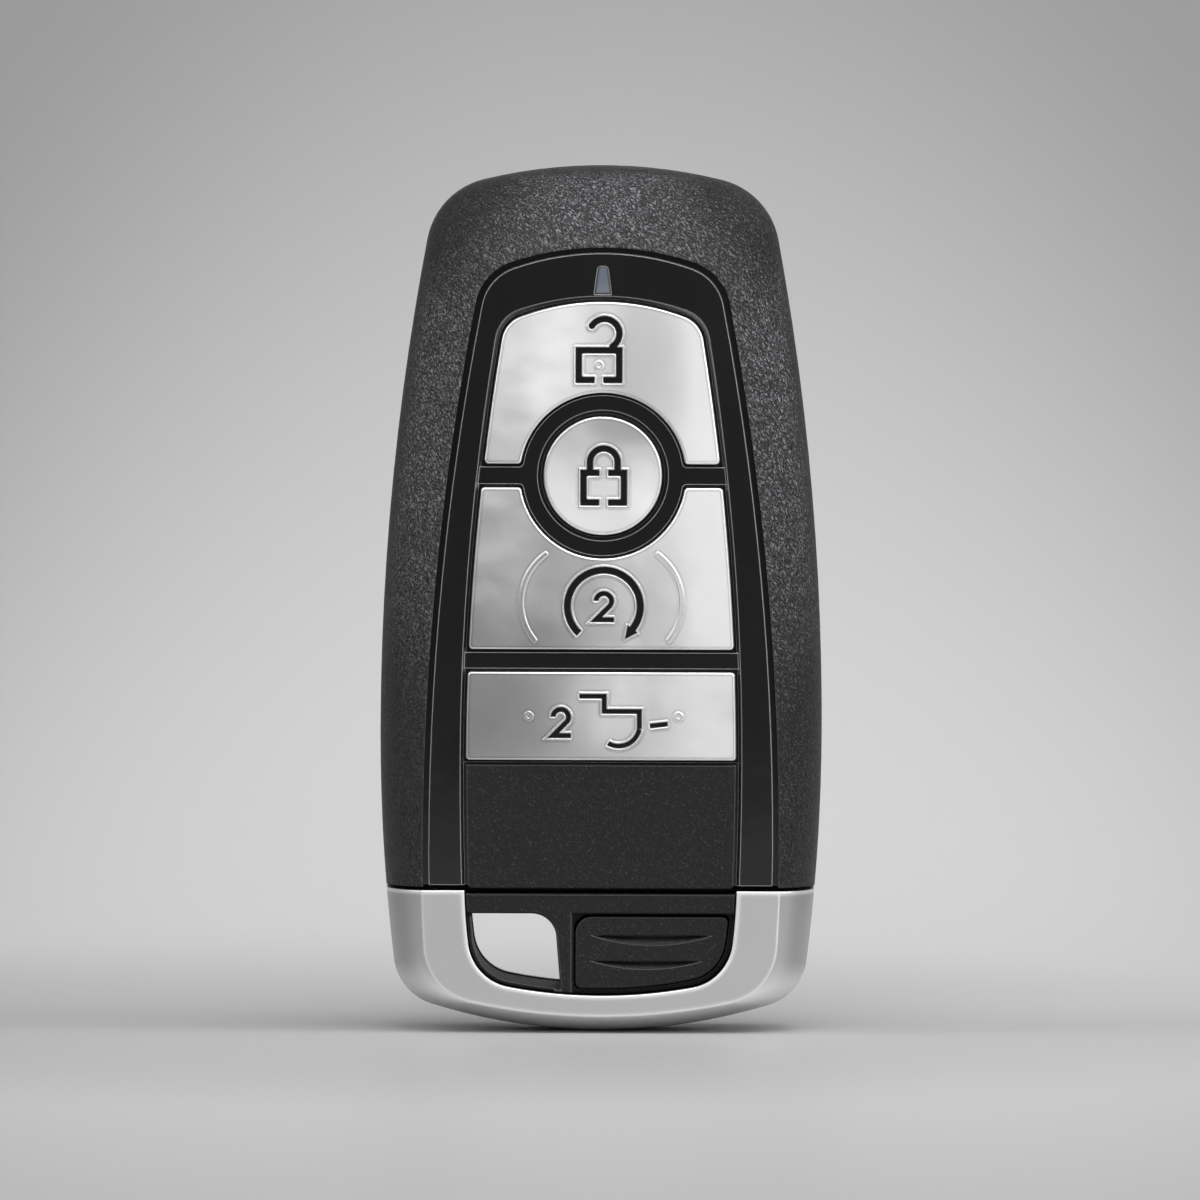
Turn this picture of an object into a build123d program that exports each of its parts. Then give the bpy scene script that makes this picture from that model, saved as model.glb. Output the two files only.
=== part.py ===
from build123d import *
import math
import os

# Car key fob, standing upright on its end band. Lengths are in millimetres.
# X runs to the right as seen from the buttons, Y from the buttons to the back, Z up.
# The origin is the middle of the lowest point.

# Depths, from the buttons to the back
raised_y = -7.70
cap_face_y = -7.60
shell_front_y = -7.50
symbol_face_y = -7.45
bezel_face_y = -7.40
panel_face_y = -7.30
ring_face_y = -7.22
loop_face_y = -7.00
key_face_y = -6.80
cap_back_y = -6.55
shell_inside_y = -6.20
lens_body_back_y = -6.20
web_front_y = -6.15
flange_front_y = -6.10
loop_side_face_y = -5.60
bezel_back_y = -5.10
cap_flange_front_y = -5.00
cap_flange_back_y = -4.60
keypad_dome_y = -4.55
keypad_front_y = -3.90
keypad_back_y = -3.40
inner_step_y = -3.40
lens_rod_back_y = -3.15
plunger_front_y = -3.15
led_front_y = -3.05
switch_front_y = -2.85
plunger_back_y = -2.74
board_front_y = -2.30
board_back_y = -1.30
chassis_front_y = -1.25
core_front_y = -1.20
release_front_y = -1.05
widest_front_y = -0.80
cell_ledge_y = -0.50
cell_front_y = -0.40
gasket_front_y = -0.05
can_rim_y = 0.10
core_back_y = 0.80
release_back_y = 1.05
pocket_back_y = 1.35
tab_reach_y = 1.40
relief_front_y = 2.40
blade_front_y = 2.50
hook_back_y = 2.60
shell_back_y = 3.00
cover_front_y = 3.20
strip_back_y = 3.60
cover_round_y = 4.20
cell_back_y = 4.60
door_front_y = 4.65
door_back_y = 5.65
key_back_y = 5.90
chassis_back_y = 6.20
cover_inside_y = 6.40
cover_back_y = 7.70

# Helpers of the drawing
cut_overrun = 1.0
big = 60.0
smallest_round = 0.5
same_point = 0.001
half_turn = 180.0

# Fits and eased edges
panel_gap = 0.15
body_gap = 0.20
snug_gap = 0.05
split_gap = 0.35
cap_edge = 0.16
panel_edge = 0.10
loop_edge = 0.12
head_edge = 0.10

# Widest outline of the casing, with its corners before rounding
fob_height = 80.2
fob_top_corner_x = 15.5
fob_top_corner_z = 77.55
fob_half_width = 20.5
fob_widest_z = 28.0
fob_low_corner_x = 18.75
fob_low_corner_z = 3.45
fob_top_round = 7.0
fob_low_round = 5.0

# Edge of the shell's opening, which runs on as the crease of the band
opening_top_z = 72.9
opening_top_corner_x = 11.25
opening_top_corner_z = 70.45
opening_half_width = 16.5
opening_widest_z = 17.3
opening_low_corner_x = 15.85
opening_low_corner_z = 4.0
opening_low_z = 1.75
opening_top_round = 5.0
opening_low_round = 5.5

# Inner edge of the bezel, round the buttons; its lower end is cut off by the band
window_top_z = 68.4
window_top_corner_x = 9.6
window_top_corner_z = 66.4
window_half_width = 13.05
window_widest_z = 25.0
window_low_corner_x = 12.6
window_low_corner_z = 7.0
window_low_z = 6.0
window_top_round = 3.3
window_low_round = 1.0

# Inner edge of the band, round the key-ring hole and the key head; its upper end is never used
loop_top_z = 30.0
loop_top_corner_x = 12.0
loop_top_corner_z = 29.0
loop_half_width = 12.65
loop_widest_z = 14.5
loop_low_corner_x = 11.75
loop_low_corner_z = 4.98
loop_low_z = 3.48
loop_top_round = 1.0
loop_low_round = 4.6

# Shell, band and rear cover
rim_flat = 0.15
crown_start_angle = 26.0
crown_sections = 6
cover_round_inset = 3.0
cover_arc_share = 0.85
cover_sections = 4
split_z = 13.4
flange_pocket_grow = 1.0
band_wall = 1.2
side_wall = 1.5
cover_wall = 1.6
cover_hole_inset = 0.10
tab_low_z = 50.5
tab_high_z = 66.0
tab_height = 5.0
tab_depth = 1.2

# Buttons: gaps to the bezel, the round lock button and its ring, the arms and the bar between rows
side_gap = 0.22
row_gap = 0.30
ring_gap = 0.23
lock_x = 0.08
lock_z = 51.76
lock_radius = 5.49
ring_inner_radius = lock_radius + ring_gap
ring_width = 1.73
ring_outer_radius = ring_inner_radius + ring_width
bite_radius = ring_outer_radius + ring_gap
arm_low_z = 50.95
arm_high_z = 52.55
bar_low_z = 33.85
bar_high_z = 35.35
unlock_low_z = arm_high_z + row_gap
start_high_z = arm_low_z - row_gap
start_low_z = bar_high_z + row_gap
tailgate_high_z = bar_low_z - row_gap
tailgate_low_z = 25.37
cap_flange_grow = 0.6
cap_corner_round = 0.35

# Bezel and the blank panel below the buttons
bezel_groove = 0.55
bezel_flange_grow = 0.8
bezel_skirt = 1.0
window_chamfer = 0.30
ring_chamfer = 0.35
joint_round = 0.45
cap_inset = window_chamfer + side_gap
bezel_low_z = split_z + split_gap
panel_seam = 0.42
web_lip = 0.20
panel_high_z = tailgate_low_z - panel_seam
panel_low_z = split_z + snug_gap
web_high_z = panel_high_z + web_lip

# Indicator lens and its light guide
lens_high_z = 71.15
lens_low_z = 68.55
lens_top_half = 0.45
lens_low_half = 0.80
lens_round = 0.30
lens_rod_z = 69.7
lens_rod_radius = 0.60

# Strokes shared by the symbols
stroke = 0.65
lip = 0.14
dot_radius = 0.42
dot_hole_radius = 0.20
padlock_width = 4.40
padlock_height = 3.40
padlock_notch = 0.75
padlock_round = 0.12
numeral_height = 2.95
numeral_width = 1.95
numeral_stroke = 0.52
numeral_sweep_angle = -215.0

# Open padlock on the unlock button
unlock_x = -0.33
unlock_rise = 9.15
unlock_z = unlock_low_z + unlock_rise
open_shackle_shift = 0.50
open_shackle_rise = 1.20
open_shackle_radius = 1.38
open_shackle_start_angle = 148.0
open_shackle_sweep_angle = -205.0

# Shut padlock on the lock button
shut_shift_x = 0.07
shut_drop = 1.11
shut_x = lock_x + shut_shift_x
shut_z = lock_z - shut_drop
shut_shackle_half = 1.28
shut_leg_rise = 0.65
shut_leg_sink = 0.60

# Circular arrow, numeral and brackets on the start button
start_x = 0.20
arrow_stroke = 0.71
arrow_low_margin = 0.10
arrow_high_margin = 0.58
arrow_room = lock_z - bite_radius - start_low_z - arrow_low_margin - arrow_high_margin
arrow_radius = arrow_room / 2 - arrow_stroke / 2 - lip
start_z = start_low_z + arrow_low_margin + arrow_room / 2
arrow_start_angle = 228.0
arrow_sweep_angle = -265.0
arrow_head_length = 1.33
arrow_head_half = 0.62
bracket_line = 0.42
bracket_high_x = 5.20
bracket_high_rise = 4.87
bracket_middle_x = 7.45
bracket_middle_rise = 0.67
bracket_low_x = 6.20
bracket_low_drop = 3.13

# Tailgate outline, numeral and dots on the tailgate button
gate_x = 0.20
gate_z = (tailgate_low_z + tailgate_high_z) / 2
gate_stroke = 0.50
gate_left_x = -2.06
gate_step_x = 0.27
gate_right_x = 3.53
gate_high_rise = 1.85
gate_shelf_rise = 0.45
gate_corner_drop = 1.20
gate_bend_x = 3.0
gate_bend_drop = 2.20
gate_end_x = 0.64
gate_end_drop = 2.50
dash_left_x = 4.50
dash_right_x = 6.20
dash_left_drop = 0.90
dash_right_drop = 0.70
gate_numeral_x = -3.75
gate_numeral_drop = 0.60
gate_dot_left_x = -6.72
gate_dot_right_x = 7.17

# Keypad, switches and board
keypad_outline_inset = 0.25
keypad_rim = 1.0
dome_base_radius = 1.90
dome_top_radius = 1.20
dome_wall = 0.40
pip_radius = 0.70
switch_width = 3.6
switch_height = 3.0
plunger_radius = 0.95
plunger_fit = 0.05
board_inset = 3.2
board_low_z = 14.4
board_corner = 1.0
pin_radius = 0.90
pin_top_x = 11.5
pin_top_z = 70.0
pin_low_x = 14.5
pin_left_z = 20.0
pin_right_z = 24.0
led_width = 1.6
led_height = 0.9

# Parts on the back of the board
chip_row_z = 56.0
controller_x = -5.5
controller_size = 7.0
controller_depth = 0.95
radio_x = 5.0
radio_z = 57.5
radio_size = 5.0
radio_depth = 0.85
crystal_z = 52.0
crystal_width = 3.2
crystal_height = 2.5
crystal_depth = 0.75
capacitor_width = 1.0
capacitor_height = 1.9
capacitor_depth = 0.6
capacitor_pitch = 3.2
capacitor_left_x = -0.6
capacitor_right_x = 9.3
capacitors_in_column = 3
core_half = 6.5
core_height = 3.2
antenna_z = 66.5
winding_half = 4.8
winding_wall = 0.35

# Emergency key
blade_width = 6.5
blade_x1 = 14.4
blade_x0 = blade_x1 - blade_width
blade_top_z = 52.0
blade_low_z = 8.5
blade_thickness = 2.0
blade_tip = 2.2
groove_width = 1.3
groove_depth = 0.55
groove_inset = 1.7
groove_low_z = 15.0
head_x0 = -2.30
head_high_z = 10.80
head_inset = 0.65
head_corner = 1.5
head_small_round = 0.5
finger_depth = 0.55
finger_x0 = -0.95
finger_high_z = 9.10
finger_high_x1 = 10.45
finger_high_rise = 0.95
finger_low_z = 6.72
finger_low_x1 = 9.50
finger_low_rise = 0.80
finger_floor_share = 0.78
finger_floor_rise_share = 0.12
shank_lap = 0.3
shank_low_z = 7.0
shank_high_z = 13.2

# Coin cell in the room between the blade and the left wall, its contacts and its door
chassis_inset = 1.85
cell_blade_wall = 0.85
cell_side_wall = 1.20
cell_radius = (blade_x0 - cell_blade_wall + fob_half_width - chassis_inset - cell_side_wall) / 2
cell_x = blade_x0 - cell_blade_wall - cell_radius
cell_z = 33.0
cell_fit = 0.15
can_wall = 0.30
gasket_width = 1.05
cap_radius = cell_radius - can_wall - gasket_width
cell_ledge = 2.65
ledge_radius = cell_radius - cell_ledge
coin_slot_length = 11.0
coin_slot_width = 1.8
coin_slot_depth = 0.5
door_tab_half = 2.0
door_tab_reach = 1.5
contact_thickness = 0.20
contact_half = 2.0
contact_reach = 6.0
contact_arch_half = 3.2
strip_half = 2.2
strip_thickness = 0.25
strip_foot = 2.2

# Release buttons and their leaf springs
release_inner_x = 16.9
release_low_z = 14.6
release_high_z = 20.0
release_travel = 0.8
release_wall_x = 15.6
spring_thickness = 0.18
hook_x = 17.3
hook_height = 2.4

# Chassis
loop_gap = 0.12
bar_under_z = 11.10
bar_over_z = 12.95
stem_x0 = -4.26
stem_foot_x0 = -3.33
stem_x1 = -2.62
hole_wall = 0.40
hole_round = 2.3
pocket_half = 13.0
pocket_low_z = 47.3
pocket_high_z = 70.0
relief_low_z = 54.0
relief_high_z = 72.0
relief_half = 12.0
rib_half = 0.5


class Outline:
    """One closed outline seen from the front: heights and half-widths, rounded at its four corners."""

    def __init__(self, top_z, top_corner, widest, low_corner, low_z, top_round, low_round):
        self.top_z = top_z
        self.top_corner = top_corner
        self.widest = widest
        self.low_corner = low_corner
        self.low_z = low_z
        self.top_round = top_round
        self.low_round = low_round

    def inset(self, d):
        """The same outline, smaller by d all round."""
        return Outline(
            self.top_z - d,
            (self.top_corner[0] - d, self.top_corner[1] - d),
            (self.widest[0] - d, self.widest[1]),
            (self.low_corner[0] - d, self.low_corner[1] + d),
            self.low_z + d,
            max(self.top_round - d, smallest_round),
            max(self.low_round - d, smallest_round),
        )

    def toward(self, other, share):
        """An outline part of the way to another one."""

        def mix(a, b):
            return a + (b - a) * share

        def mix_point(a, b):
            return (mix(a[0], b[0]), mix(a[1], b[1]))

        return Outline(
            mix(self.top_z, other.top_z),
            mix_point(self.top_corner, other.top_corner),
            mix_point(self.widest, other.widest),
            mix_point(self.low_corner, other.low_corner),
            mix(self.low_z, other.low_z),
            mix(self.top_round, other.top_round),
            mix(self.low_round, other.low_round),
        )

    def face(self):
        """The outline as a flat face, drawn with X across and Z up."""
        x_top, z_top = self.top_corner
        x_low, z_low = self.low_corner
        edges = [
            ThreePointArc((-x_top, z_top), (0, self.top_z), (x_top, z_top)),
            TangentArc(self.widest, self.top_corner, tangent=(0, 1)),
            TangentArc(self.widest, self.low_corner, tangent=(0, -1)),
            ThreePointArc((-x_low, z_low), (0, self.low_z), (x_low, z_low)),
            TangentArc((-self.widest[0], self.widest[1]), (-x_low, z_low), tangent=(0, -1)),
            TangentArc((-self.widest[0], self.widest[1]), (-x_top, z_top), tangent=(0, 1)),
        ]
        flat = make_face(edges)
        for height, radius in ((z_top, self.top_round), (z_low, self.low_round)):
            flat = fillet(corners_at(flat, height), radius)
        return flat


silhouette = Outline(
    fob_height, (fob_top_corner_x, fob_top_corner_z), (fob_half_width, fob_widest_z),
    (fob_low_corner_x, fob_low_corner_z), 0, fob_top_round, fob_low_round,
)
opening = Outline(
    opening_top_z, (opening_top_corner_x, opening_top_corner_z), (opening_half_width, opening_widest_z),
    (opening_low_corner_x, opening_low_corner_z), opening_low_z, opening_top_round, opening_low_round,
)
window_edge = Outline(
    window_top_z, (window_top_corner_x, window_top_corner_z), (window_half_width, window_widest_z),
    (window_low_corner_x, window_low_corner_z), window_low_z, window_top_round, window_low_round,
)
loop_window = Outline(
    loop_top_z, (loop_top_corner_x, loop_top_corner_z), (loop_half_width, loop_widest_z),
    (loop_low_corner_x, loop_low_corner_z), loop_low_z, loop_top_round, loop_low_round,
)


def front_plane(y):
    """A drawing plane at depth y, with X across and Z up."""
    return Plane(origin=(0, y, 0), x_dir=(1, 0, 0), z_dir=(0, -1, 0))


def slab(sketch, front_y, back_y):
    """A plate of the sketch between two depths."""
    return extrude(front_plane(back_y) * sketch, amount=back_y - front_y, dir=(0, -1, 0))


def rectangle(x0, x1, z0, z1):
    """A rectangle between two widths and two heights."""
    return Pos((x0 + x1) / 2, (z0 + z1) / 2) * Rectangle(x1 - x0, z1 - z0)


def block(x0, x1, y0, y1, z0, z1):
    """A box between two corners."""
    return slab(rectangle(x0, x1, z0, z1), y0, y1)


def side_block(side, x0, x1, y0, y1, z0, z1):
    """A box on the right side, or its mirror image on the left."""
    low, high = sorted((side * x0, side * x1))
    return block(low, high, y0, y1, z0, z1)


def front_edges(body, y):
    """The edges that lie in the plane at depth y."""
    return body.edges().filter_by_position(Axis.Y, y - same_point, y + same_point)


def corners_at(flat, z):
    """The corners of a sketch at one height."""
    return [v for v in flat.vertices() if abs(v.Y - z) < same_point]


def disc(x, z, radius):
    """A flat disc centred at x, z."""
    return Pos(x, z) * Circle(radius)


def above(z):
    """Everything over one height, as a sketch."""
    return rectangle(-big, big, z, z + big + big)


def below(z):
    """Everything under one height, as a sketch."""
    return rectangle(-big, big, z - big - big, z)


def crown_body():
    """The front half of the casing: the crowned slope from the opening out to the widest outline."""
    start = math.radians(crown_start_angle)
    inner = opening.inset(-rim_flat)
    sections = []
    for step in range(crown_sections):
        angle = start + (math.pi / 2 - start) * step / (crown_sections - 1)
        share = (math.sin(angle) - math.sin(start)) / (1 - math.sin(start))
        depth = (math.cos(start) - math.cos(angle)) / math.cos(start)
        y = shell_front_y + (widest_front_y - shell_front_y) * depth
        sections.append(front_plane(y) * inner.toward(silhouette, share).face())
    return loft(sections) + slab(silhouette.face(), widest_front_y, shell_back_y)


def casing_hollow(front_grow):
    """The stepped space inside the shell or the band."""
    front_room = slab(opening.inset(-front_grow).face(), shell_inside_y, inner_step_y + cut_overrun)
    inner_room = slab(silhouette.inset(side_wall).face(), inner_step_y, shell_back_y + cut_overrun)
    return front_room + inner_room


def release_hole(side):
    """The hole in the shell wall for one release button."""
    return side_block(
        side, release_inner_x, big, release_front_y - panel_gap, release_back_y + panel_gap,
        release_low_z - panel_gap, release_high_z + panel_gap,
    )


def front_shell():
    """The grained black shell round the buttons."""
    body = crown_body() & slab(above(split_z + split_gap / 2), raised_y, cover_back_y)
    body -= casing_hollow(flange_pocket_grow)
    body -= slab(opening.face(), raised_y - cut_overrun, shell_back_y)
    for side in (-1, 1):
        body -= release_hole(side)
    return body


def end_band():
    """The silver band round the key-ring end."""
    body = crown_body() & slab(below(split_z - split_gap / 2), raised_y, cover_back_y)
    body -= casing_hollow(-band_wall)
    body -= slab(loop_window.face(), raised_y - cut_overrun, shell_back_y)
    return body


def window_sketch(inset):
    """The bezel's window, open at its lower end."""
    return window_edge.inset(inset).face()


def cap_field(inset, low_z, high_z):
    """A piece of the button field between two heights."""
    return window_sketch(inset) & rectangle(-big, big, low_z, high_z)


def ring_and_bars():
    """The ring round the lock button, its two arms and the lower bar."""
    arms = rectangle(-big, big, arm_low_z, arm_high_z) & window_sketch(-window_chamfer)
    bar = rectangle(-big, big, bar_low_z, bar_high_z) & window_sketch(-window_chamfer)
    flat = arms + disc(lock_x, lock_z, ring_outer_radius)
    arm_half = (arm_high_z - arm_low_z) / 2
    joints = [v for v in flat.vertices() if abs(v.X - lock_x) < ring_outer_radius + arm_half / 2]
    flat = fillet(joints, joint_round)
    return flat + bar - disc(lock_x, lock_z, ring_inner_radius)


def lens_sketch(gap):
    """The tapered indicator lens, rounded at its narrow end."""
    outline = Polyline(
        (-lens_top_half - gap, lens_high_z + gap), (lens_top_half + gap, lens_high_z + gap),
        (lens_low_half + gap, lens_low_z - gap), (-lens_low_half - gap, lens_low_z - gap),
        close=True,
    )
    flat = make_face(outline)
    tips = [v for v in flat.vertices() if v.Y > lens_high_z - lens_round]
    return fillet(tips, lens_round)


def gloss_bezel():
    """The polished black frame of the buttons, with its flange behind the shell."""
    over_band = above(bezel_low_z)
    outer = opening.inset(bezel_groove).face() & over_band
    flange = opening.inset(-bezel_flange_grow).face() & over_band
    hole = window_sketch(window_chamfer)
    body = slab(outer, bezel_face_y, flange_front_y) + slab(flange, flange_front_y, bezel_back_y)
    body -= slab(hole, raised_y, cut_overrun)
    body -= loft([
        front_plane(bezel_face_y) * window_sketch(0),
        front_plane(bezel_face_y + window_chamfer) * window_sketch(window_chamfer),
    ])
    body += slab(ring_and_bars(), ring_face_y, bezel_back_y)
    body -= cone(
        lock_x, lock_z, ring_inner_radius, ring_face_y + ring_chamfer,
        ring_inner_radius + ring_chamfer, ring_face_y,
    )
    web = window_sketch(0) & rectangle(-big, big, bezel_low_z, web_high_z)
    body += slab(web, web_front_y, bezel_back_y)
    skirt = flange - (opening.inset(bezel_skirt - bezel_flange_grow).face() & above(bezel_low_z + bezel_skirt))
    body += slab(skirt, bezel_back_y, keypad_front_y - snug_gap)
    body -= slab(lens_sketch(0), raised_y, lens_body_back_y)
    body -= slab(disc(0, lens_rod_z, lens_rod_radius), raised_y, 0)
    return body


def round_corners(sheet, z):
    """Small rounds on the corners at one height."""
    corners = corners_at(sheet, z)
    return fillet(corners, cap_corner_round) if corners else sheet


def blank_panel():
    """The plain black panel between the last button and the band."""
    sheet = round_corners(cap_field(cap_inset, panel_low_z, panel_high_z), panel_low_z)
    body = slab(sheet, panel_face_y, web_front_y)
    return chamfer(front_edges(body, panel_face_y), panel_edge)


def indicator_lens():
    """The lens with the round light guide behind it."""
    body = slab(lens_sketch(0), bezel_face_y, lens_body_back_y)
    return body + slab(disc(0, lens_rod_z, lens_rod_radius), lens_body_back_y, lens_rod_back_y)


def unlock_field():
    """Outline of the top button, bitten by the lock button's ring."""
    field = cap_field(cap_inset, unlock_low_z, big + big) - disc(lock_x, lock_z, bite_radius)
    return round_corners(field, unlock_low_z)


def lock_field():
    """Outline of the round lock button."""
    return disc(lock_x, lock_z, lock_radius)


def start_field():
    """Outline of the button below the ring."""
    field = cap_field(cap_inset, start_low_z, start_high_z) - disc(lock_x, lock_z, bite_radius)
    return round_corners(round_corners(field, start_low_z), start_high_z)


def tailgate_field():
    """Outline of the lowest button."""
    field = cap_field(cap_inset, tailgate_low_z, tailgate_high_z)
    return round_corners(round_corners(field, tailgate_low_z), tailgate_high_z)


def padlock_body(x, z, grow, open_top):
    """A padlock's body as a frame about its centre, with a notch below and, if open, another above."""
    half_w = padlock_width / 2
    half_h = padlock_height / 2
    outer = rectangle(x - half_w - grow, x + half_w + grow, z - half_h - grow, z + half_h + grow)
    wall = stroke + grow
    inner = rectangle(x - half_w + wall, x + half_w - wall, z - half_h + wall, z + half_h - wall)
    notch_top = z + half_h + cut_overrun if open_top else z
    half_notch = padlock_notch / 2 - grow
    notch = rectangle(x - half_notch, x + half_notch, z - half_h - cut_overrun, notch_top)
    frame = outer - inner - notch
    return fillet(frame.vertices(), padlock_round)


def unlock_symbol(grow):
    """A padlock whose shackle hangs open."""
    shackle = CenterArc(
        (unlock_x + open_shackle_shift, unlock_z + padlock_height / 2 + open_shackle_rise),
        open_shackle_radius, open_shackle_start_angle, open_shackle_sweep_angle,
    )
    return padlock_body(unlock_x, unlock_z, grow, False) + SlotArc(shackle, stroke + 2 * grow)


def lock_symbol(grow):
    """A padlock whose shackle is shut."""
    leg_z = shut_z + padlock_height / 2 + shut_leg_rise
    foot_z = shut_z + padlock_height / 2 - shut_leg_sink
    half_line = stroke / 2 + grow
    symbol = padlock_body(shut_x, shut_z, grow, True)
    symbol += trace(CenterArc((shut_x, leg_z), shut_shackle_half, half_turn, -half_turn), 2 * half_line)
    for x in (shut_x - shut_shackle_half, shut_x + shut_shackle_half):
        symbol += rectangle(x - half_line, x + half_line, foot_z, leg_z)
    return symbol


def numeral_two(x, z, grow):
    """A plain numeral two, drawn with one stroke."""
    half = (numeral_width - numeral_stroke) / 2
    top = z + (numeral_height - numeral_stroke) / 2
    low = z - (numeral_height - numeral_stroke) / 2
    bow = CenterArc((x, top - half), half, half_turn, numeral_sweep_angle)
    slant = Line(bow @ 1, (x - half, low))
    foot = Line((x - half, low), (x + half + numeral_stroke / 2, low))
    return trace([bow, slant, foot], numeral_stroke + 2 * grow)


def start_symbol(grow):
    """A numeral inside a circular arrow."""
    arc = CenterArc((start_x, start_z), arrow_radius, arrow_start_angle, arrow_sweep_angle)
    head = make_face(Polyline(
        (-arrow_head_half - grow, 0), (arrow_head_half + grow, 0), (0, -arrow_head_length - grow), close=True,
    ))
    end = arc @ 1
    head = Pos(end.X, end.Y) * Rot(0, 0, arrow_start_angle + arrow_sweep_angle) * head
    return trace(arc, arrow_stroke + 2 * grow) + head + numeral_two(start_x, start_z, grow)


def tailgate_symbol(grow):
    """The outline of a tailgate, its dash line and a numeral."""
    width = gate_stroke + 2 * grow
    corner = (gate_right_x, gate_z - gate_corner_drop)
    outline = Polyline(
        (gate_left_x, gate_z + gate_high_rise), (gate_step_x, gate_z + gate_high_rise),
        (gate_step_x, gate_z + gate_shelf_rise), (gate_right_x, gate_z + gate_shelf_rise), corner,
    )
    bend = ThreePointArc(
        corner, (gate_bend_x, gate_z - gate_bend_drop), (gate_end_x, gate_z - gate_end_drop),
    )
    dash = Line((dash_left_x, gate_z - dash_left_drop), (dash_right_x, gate_z - dash_right_drop))
    symbol = numeral_two(gate_numeral_x, gate_z - gate_numeral_drop, grow)
    for line in (outline, bend, dash):
        symbol += trace(line, width)
    return symbol


def ring_dot(x, z):
    """A small raised dot with a dimple."""
    return disc(x, z, dot_radius) - disc(x, z, dot_hole_radius)


def raised_marks(name):
    """Small raised dots and bracket lines that stand on a cap."""
    if name == "unlock":
        return [ring_dot(unlock_x, unlock_z)]
    if name == "tailgate":
        return [ring_dot(gate_dot_left_x, gate_z), ring_dot(gate_dot_right_x, gate_z)]
    if name == "lock":
        return []
    brackets = []
    for side in (-1, 1):
        path = ThreePointArc(
            (side * bracket_high_x, start_z + bracket_high_rise),
            (side * bracket_middle_x, start_z + bracket_middle_rise),
            (side * bracket_low_x, start_z - bracket_low_drop),
        )
        brackets.append(SlotArc(path, bracket_line))
    return brackets


def button(name, field, symbol):
    """One button: a plated cap with its symbol cut out, and the black core that fills the symbol."""
    cap = slab(field, cap_face_y, cap_back_y)
    cap = fillet(front_edges(cap, cap_face_y), cap_edge) - slab(symbol(0), raised_y, cap_back_y)
    for mark in [symbol(lip) - symbol(0), *raised_marks(name)]:
        cap += slab(mark, raised_y, cap_face_y)
    flange = field_grown(name)
    core = slab(field, cap_back_y, cap_flange_front_y) + slab(flange, cap_flange_front_y, cap_flange_back_y)
    core += slab(symbol(0), symbol_face_y, cap_back_y)
    return cap, core


def field_grown(name):
    """The flange behind a cap, which the bezel holds from in front."""
    inset = cap_inset - cap_flange_grow
    bite = disc(lock_x, lock_z, bite_radius - cap_flange_grow)
    if name == "unlock":
        return cap_field(inset, unlock_low_z - cap_flange_grow, big + big) - bite
    if name == "lock":
        return disc(lock_x, lock_z, lock_radius + cap_flange_grow)
    if name == "start":
        return cap_field(inset, start_low_z - cap_flange_grow, start_high_z + cap_flange_grow) - bite
    return cap_field(inset, tailgate_low_z - cap_flange_grow, tailgate_high_z + cap_flange_grow)


def switch_places():
    """Each button's name, and where its switch stands."""
    return (
        ("unlock", unlock_x, unlock_z), ("lock", lock_x, lock_z),
        ("start", start_x, start_z), ("tailgate", gate_x, gate_z),
    )


def keypad_outline(inset):
    """The keypad's outline inside the shell's opening."""
    return opening.inset(keypad_outline_inset + inset).face() & above(board_low_z + inset)


def keypad_mat():
    """A rubber sheet with a rim and one hollow dome under each button."""
    body = slab(keypad_outline(0), keypad_front_y, keypad_back_y)
    rim = keypad_outline(0) - keypad_outline(keypad_rim)
    body += slab(rim, keypad_back_y, board_front_y - snug_gap)
    body -= slab(disc(0, lens_rod_z, lens_rod_radius + panel_gap), keypad_front_y - cut_overrun, 0)
    for _, x, z in switch_places():
        outside = cone(x, z, dome_base_radius, keypad_front_y, dome_top_radius, keypad_dome_y)
        inside = cone(
            x, z, dome_base_radius - dome_wall, keypad_back_y,
            dome_top_radius - dome_wall, keypad_dome_y + dome_wall,
        )
        pip = slab(disc(x, z, pip_radius), keypad_dome_y + dome_wall, plunger_front_y - snug_gap)
        body = body + outside - inside + pip
    return body


def cone(x, z, back_radius, back_y, front_radius, front_y):
    """A round taper between two depths."""
    return loft([front_plane(back_y) * disc(x, z, back_radius), front_plane(front_y) * disc(x, z, front_radius)])


def switch_bodies():
    """The four square switch cases."""
    bodies = []
    for _, x, z in switch_places():
        case = slab(Pos(x, z) * Rectangle(switch_width, switch_height), switch_front_y, board_front_y)
        bore = disc(x, z, plunger_radius + plunger_fit)
        bodies.append(case - slab(bore, switch_front_y - cut_overrun, board_front_y))
    return Compound(bodies)


def plunger(x, z):
    """The pin that a dome presses into its switch."""
    return slab(disc(x, z, plunger_radius), plunger_front_y, plunger_back_y)


def pin_places():
    """Where the chassis's pins go through the board."""
    return (
        (-pin_top_x, pin_top_z), (pin_top_x, pin_top_z), (-pin_low_x, pin_left_z), (pin_low_x, pin_right_z),
    )


def circuit_board():
    """The board, with a hole for each pin."""
    sketch = silhouette.inset(board_inset).face() & above(board_low_z)
    sketch = fillet(corners_at(sketch, board_low_z), board_corner)
    body = slab(sketch, board_front_y, board_back_y)
    for x, z in pin_places():
        body -= slab(disc(x, z, pin_radius + snug_gap), board_front_y - cut_overrun, board_back_y + cut_overrun)
    return body


def indicator_led():
    """The light behind the indicator lens."""
    return slab(Pos(0, lens_rod_z) * Rectangle(led_width, led_height), led_front_y, board_front_y)


def flat_part(x, z, width, height, depth):
    """A component soldered to the back of the board."""
    return slab(Pos(x, z) * Rectangle(width, height), board_back_y, board_back_y + depth)


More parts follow.
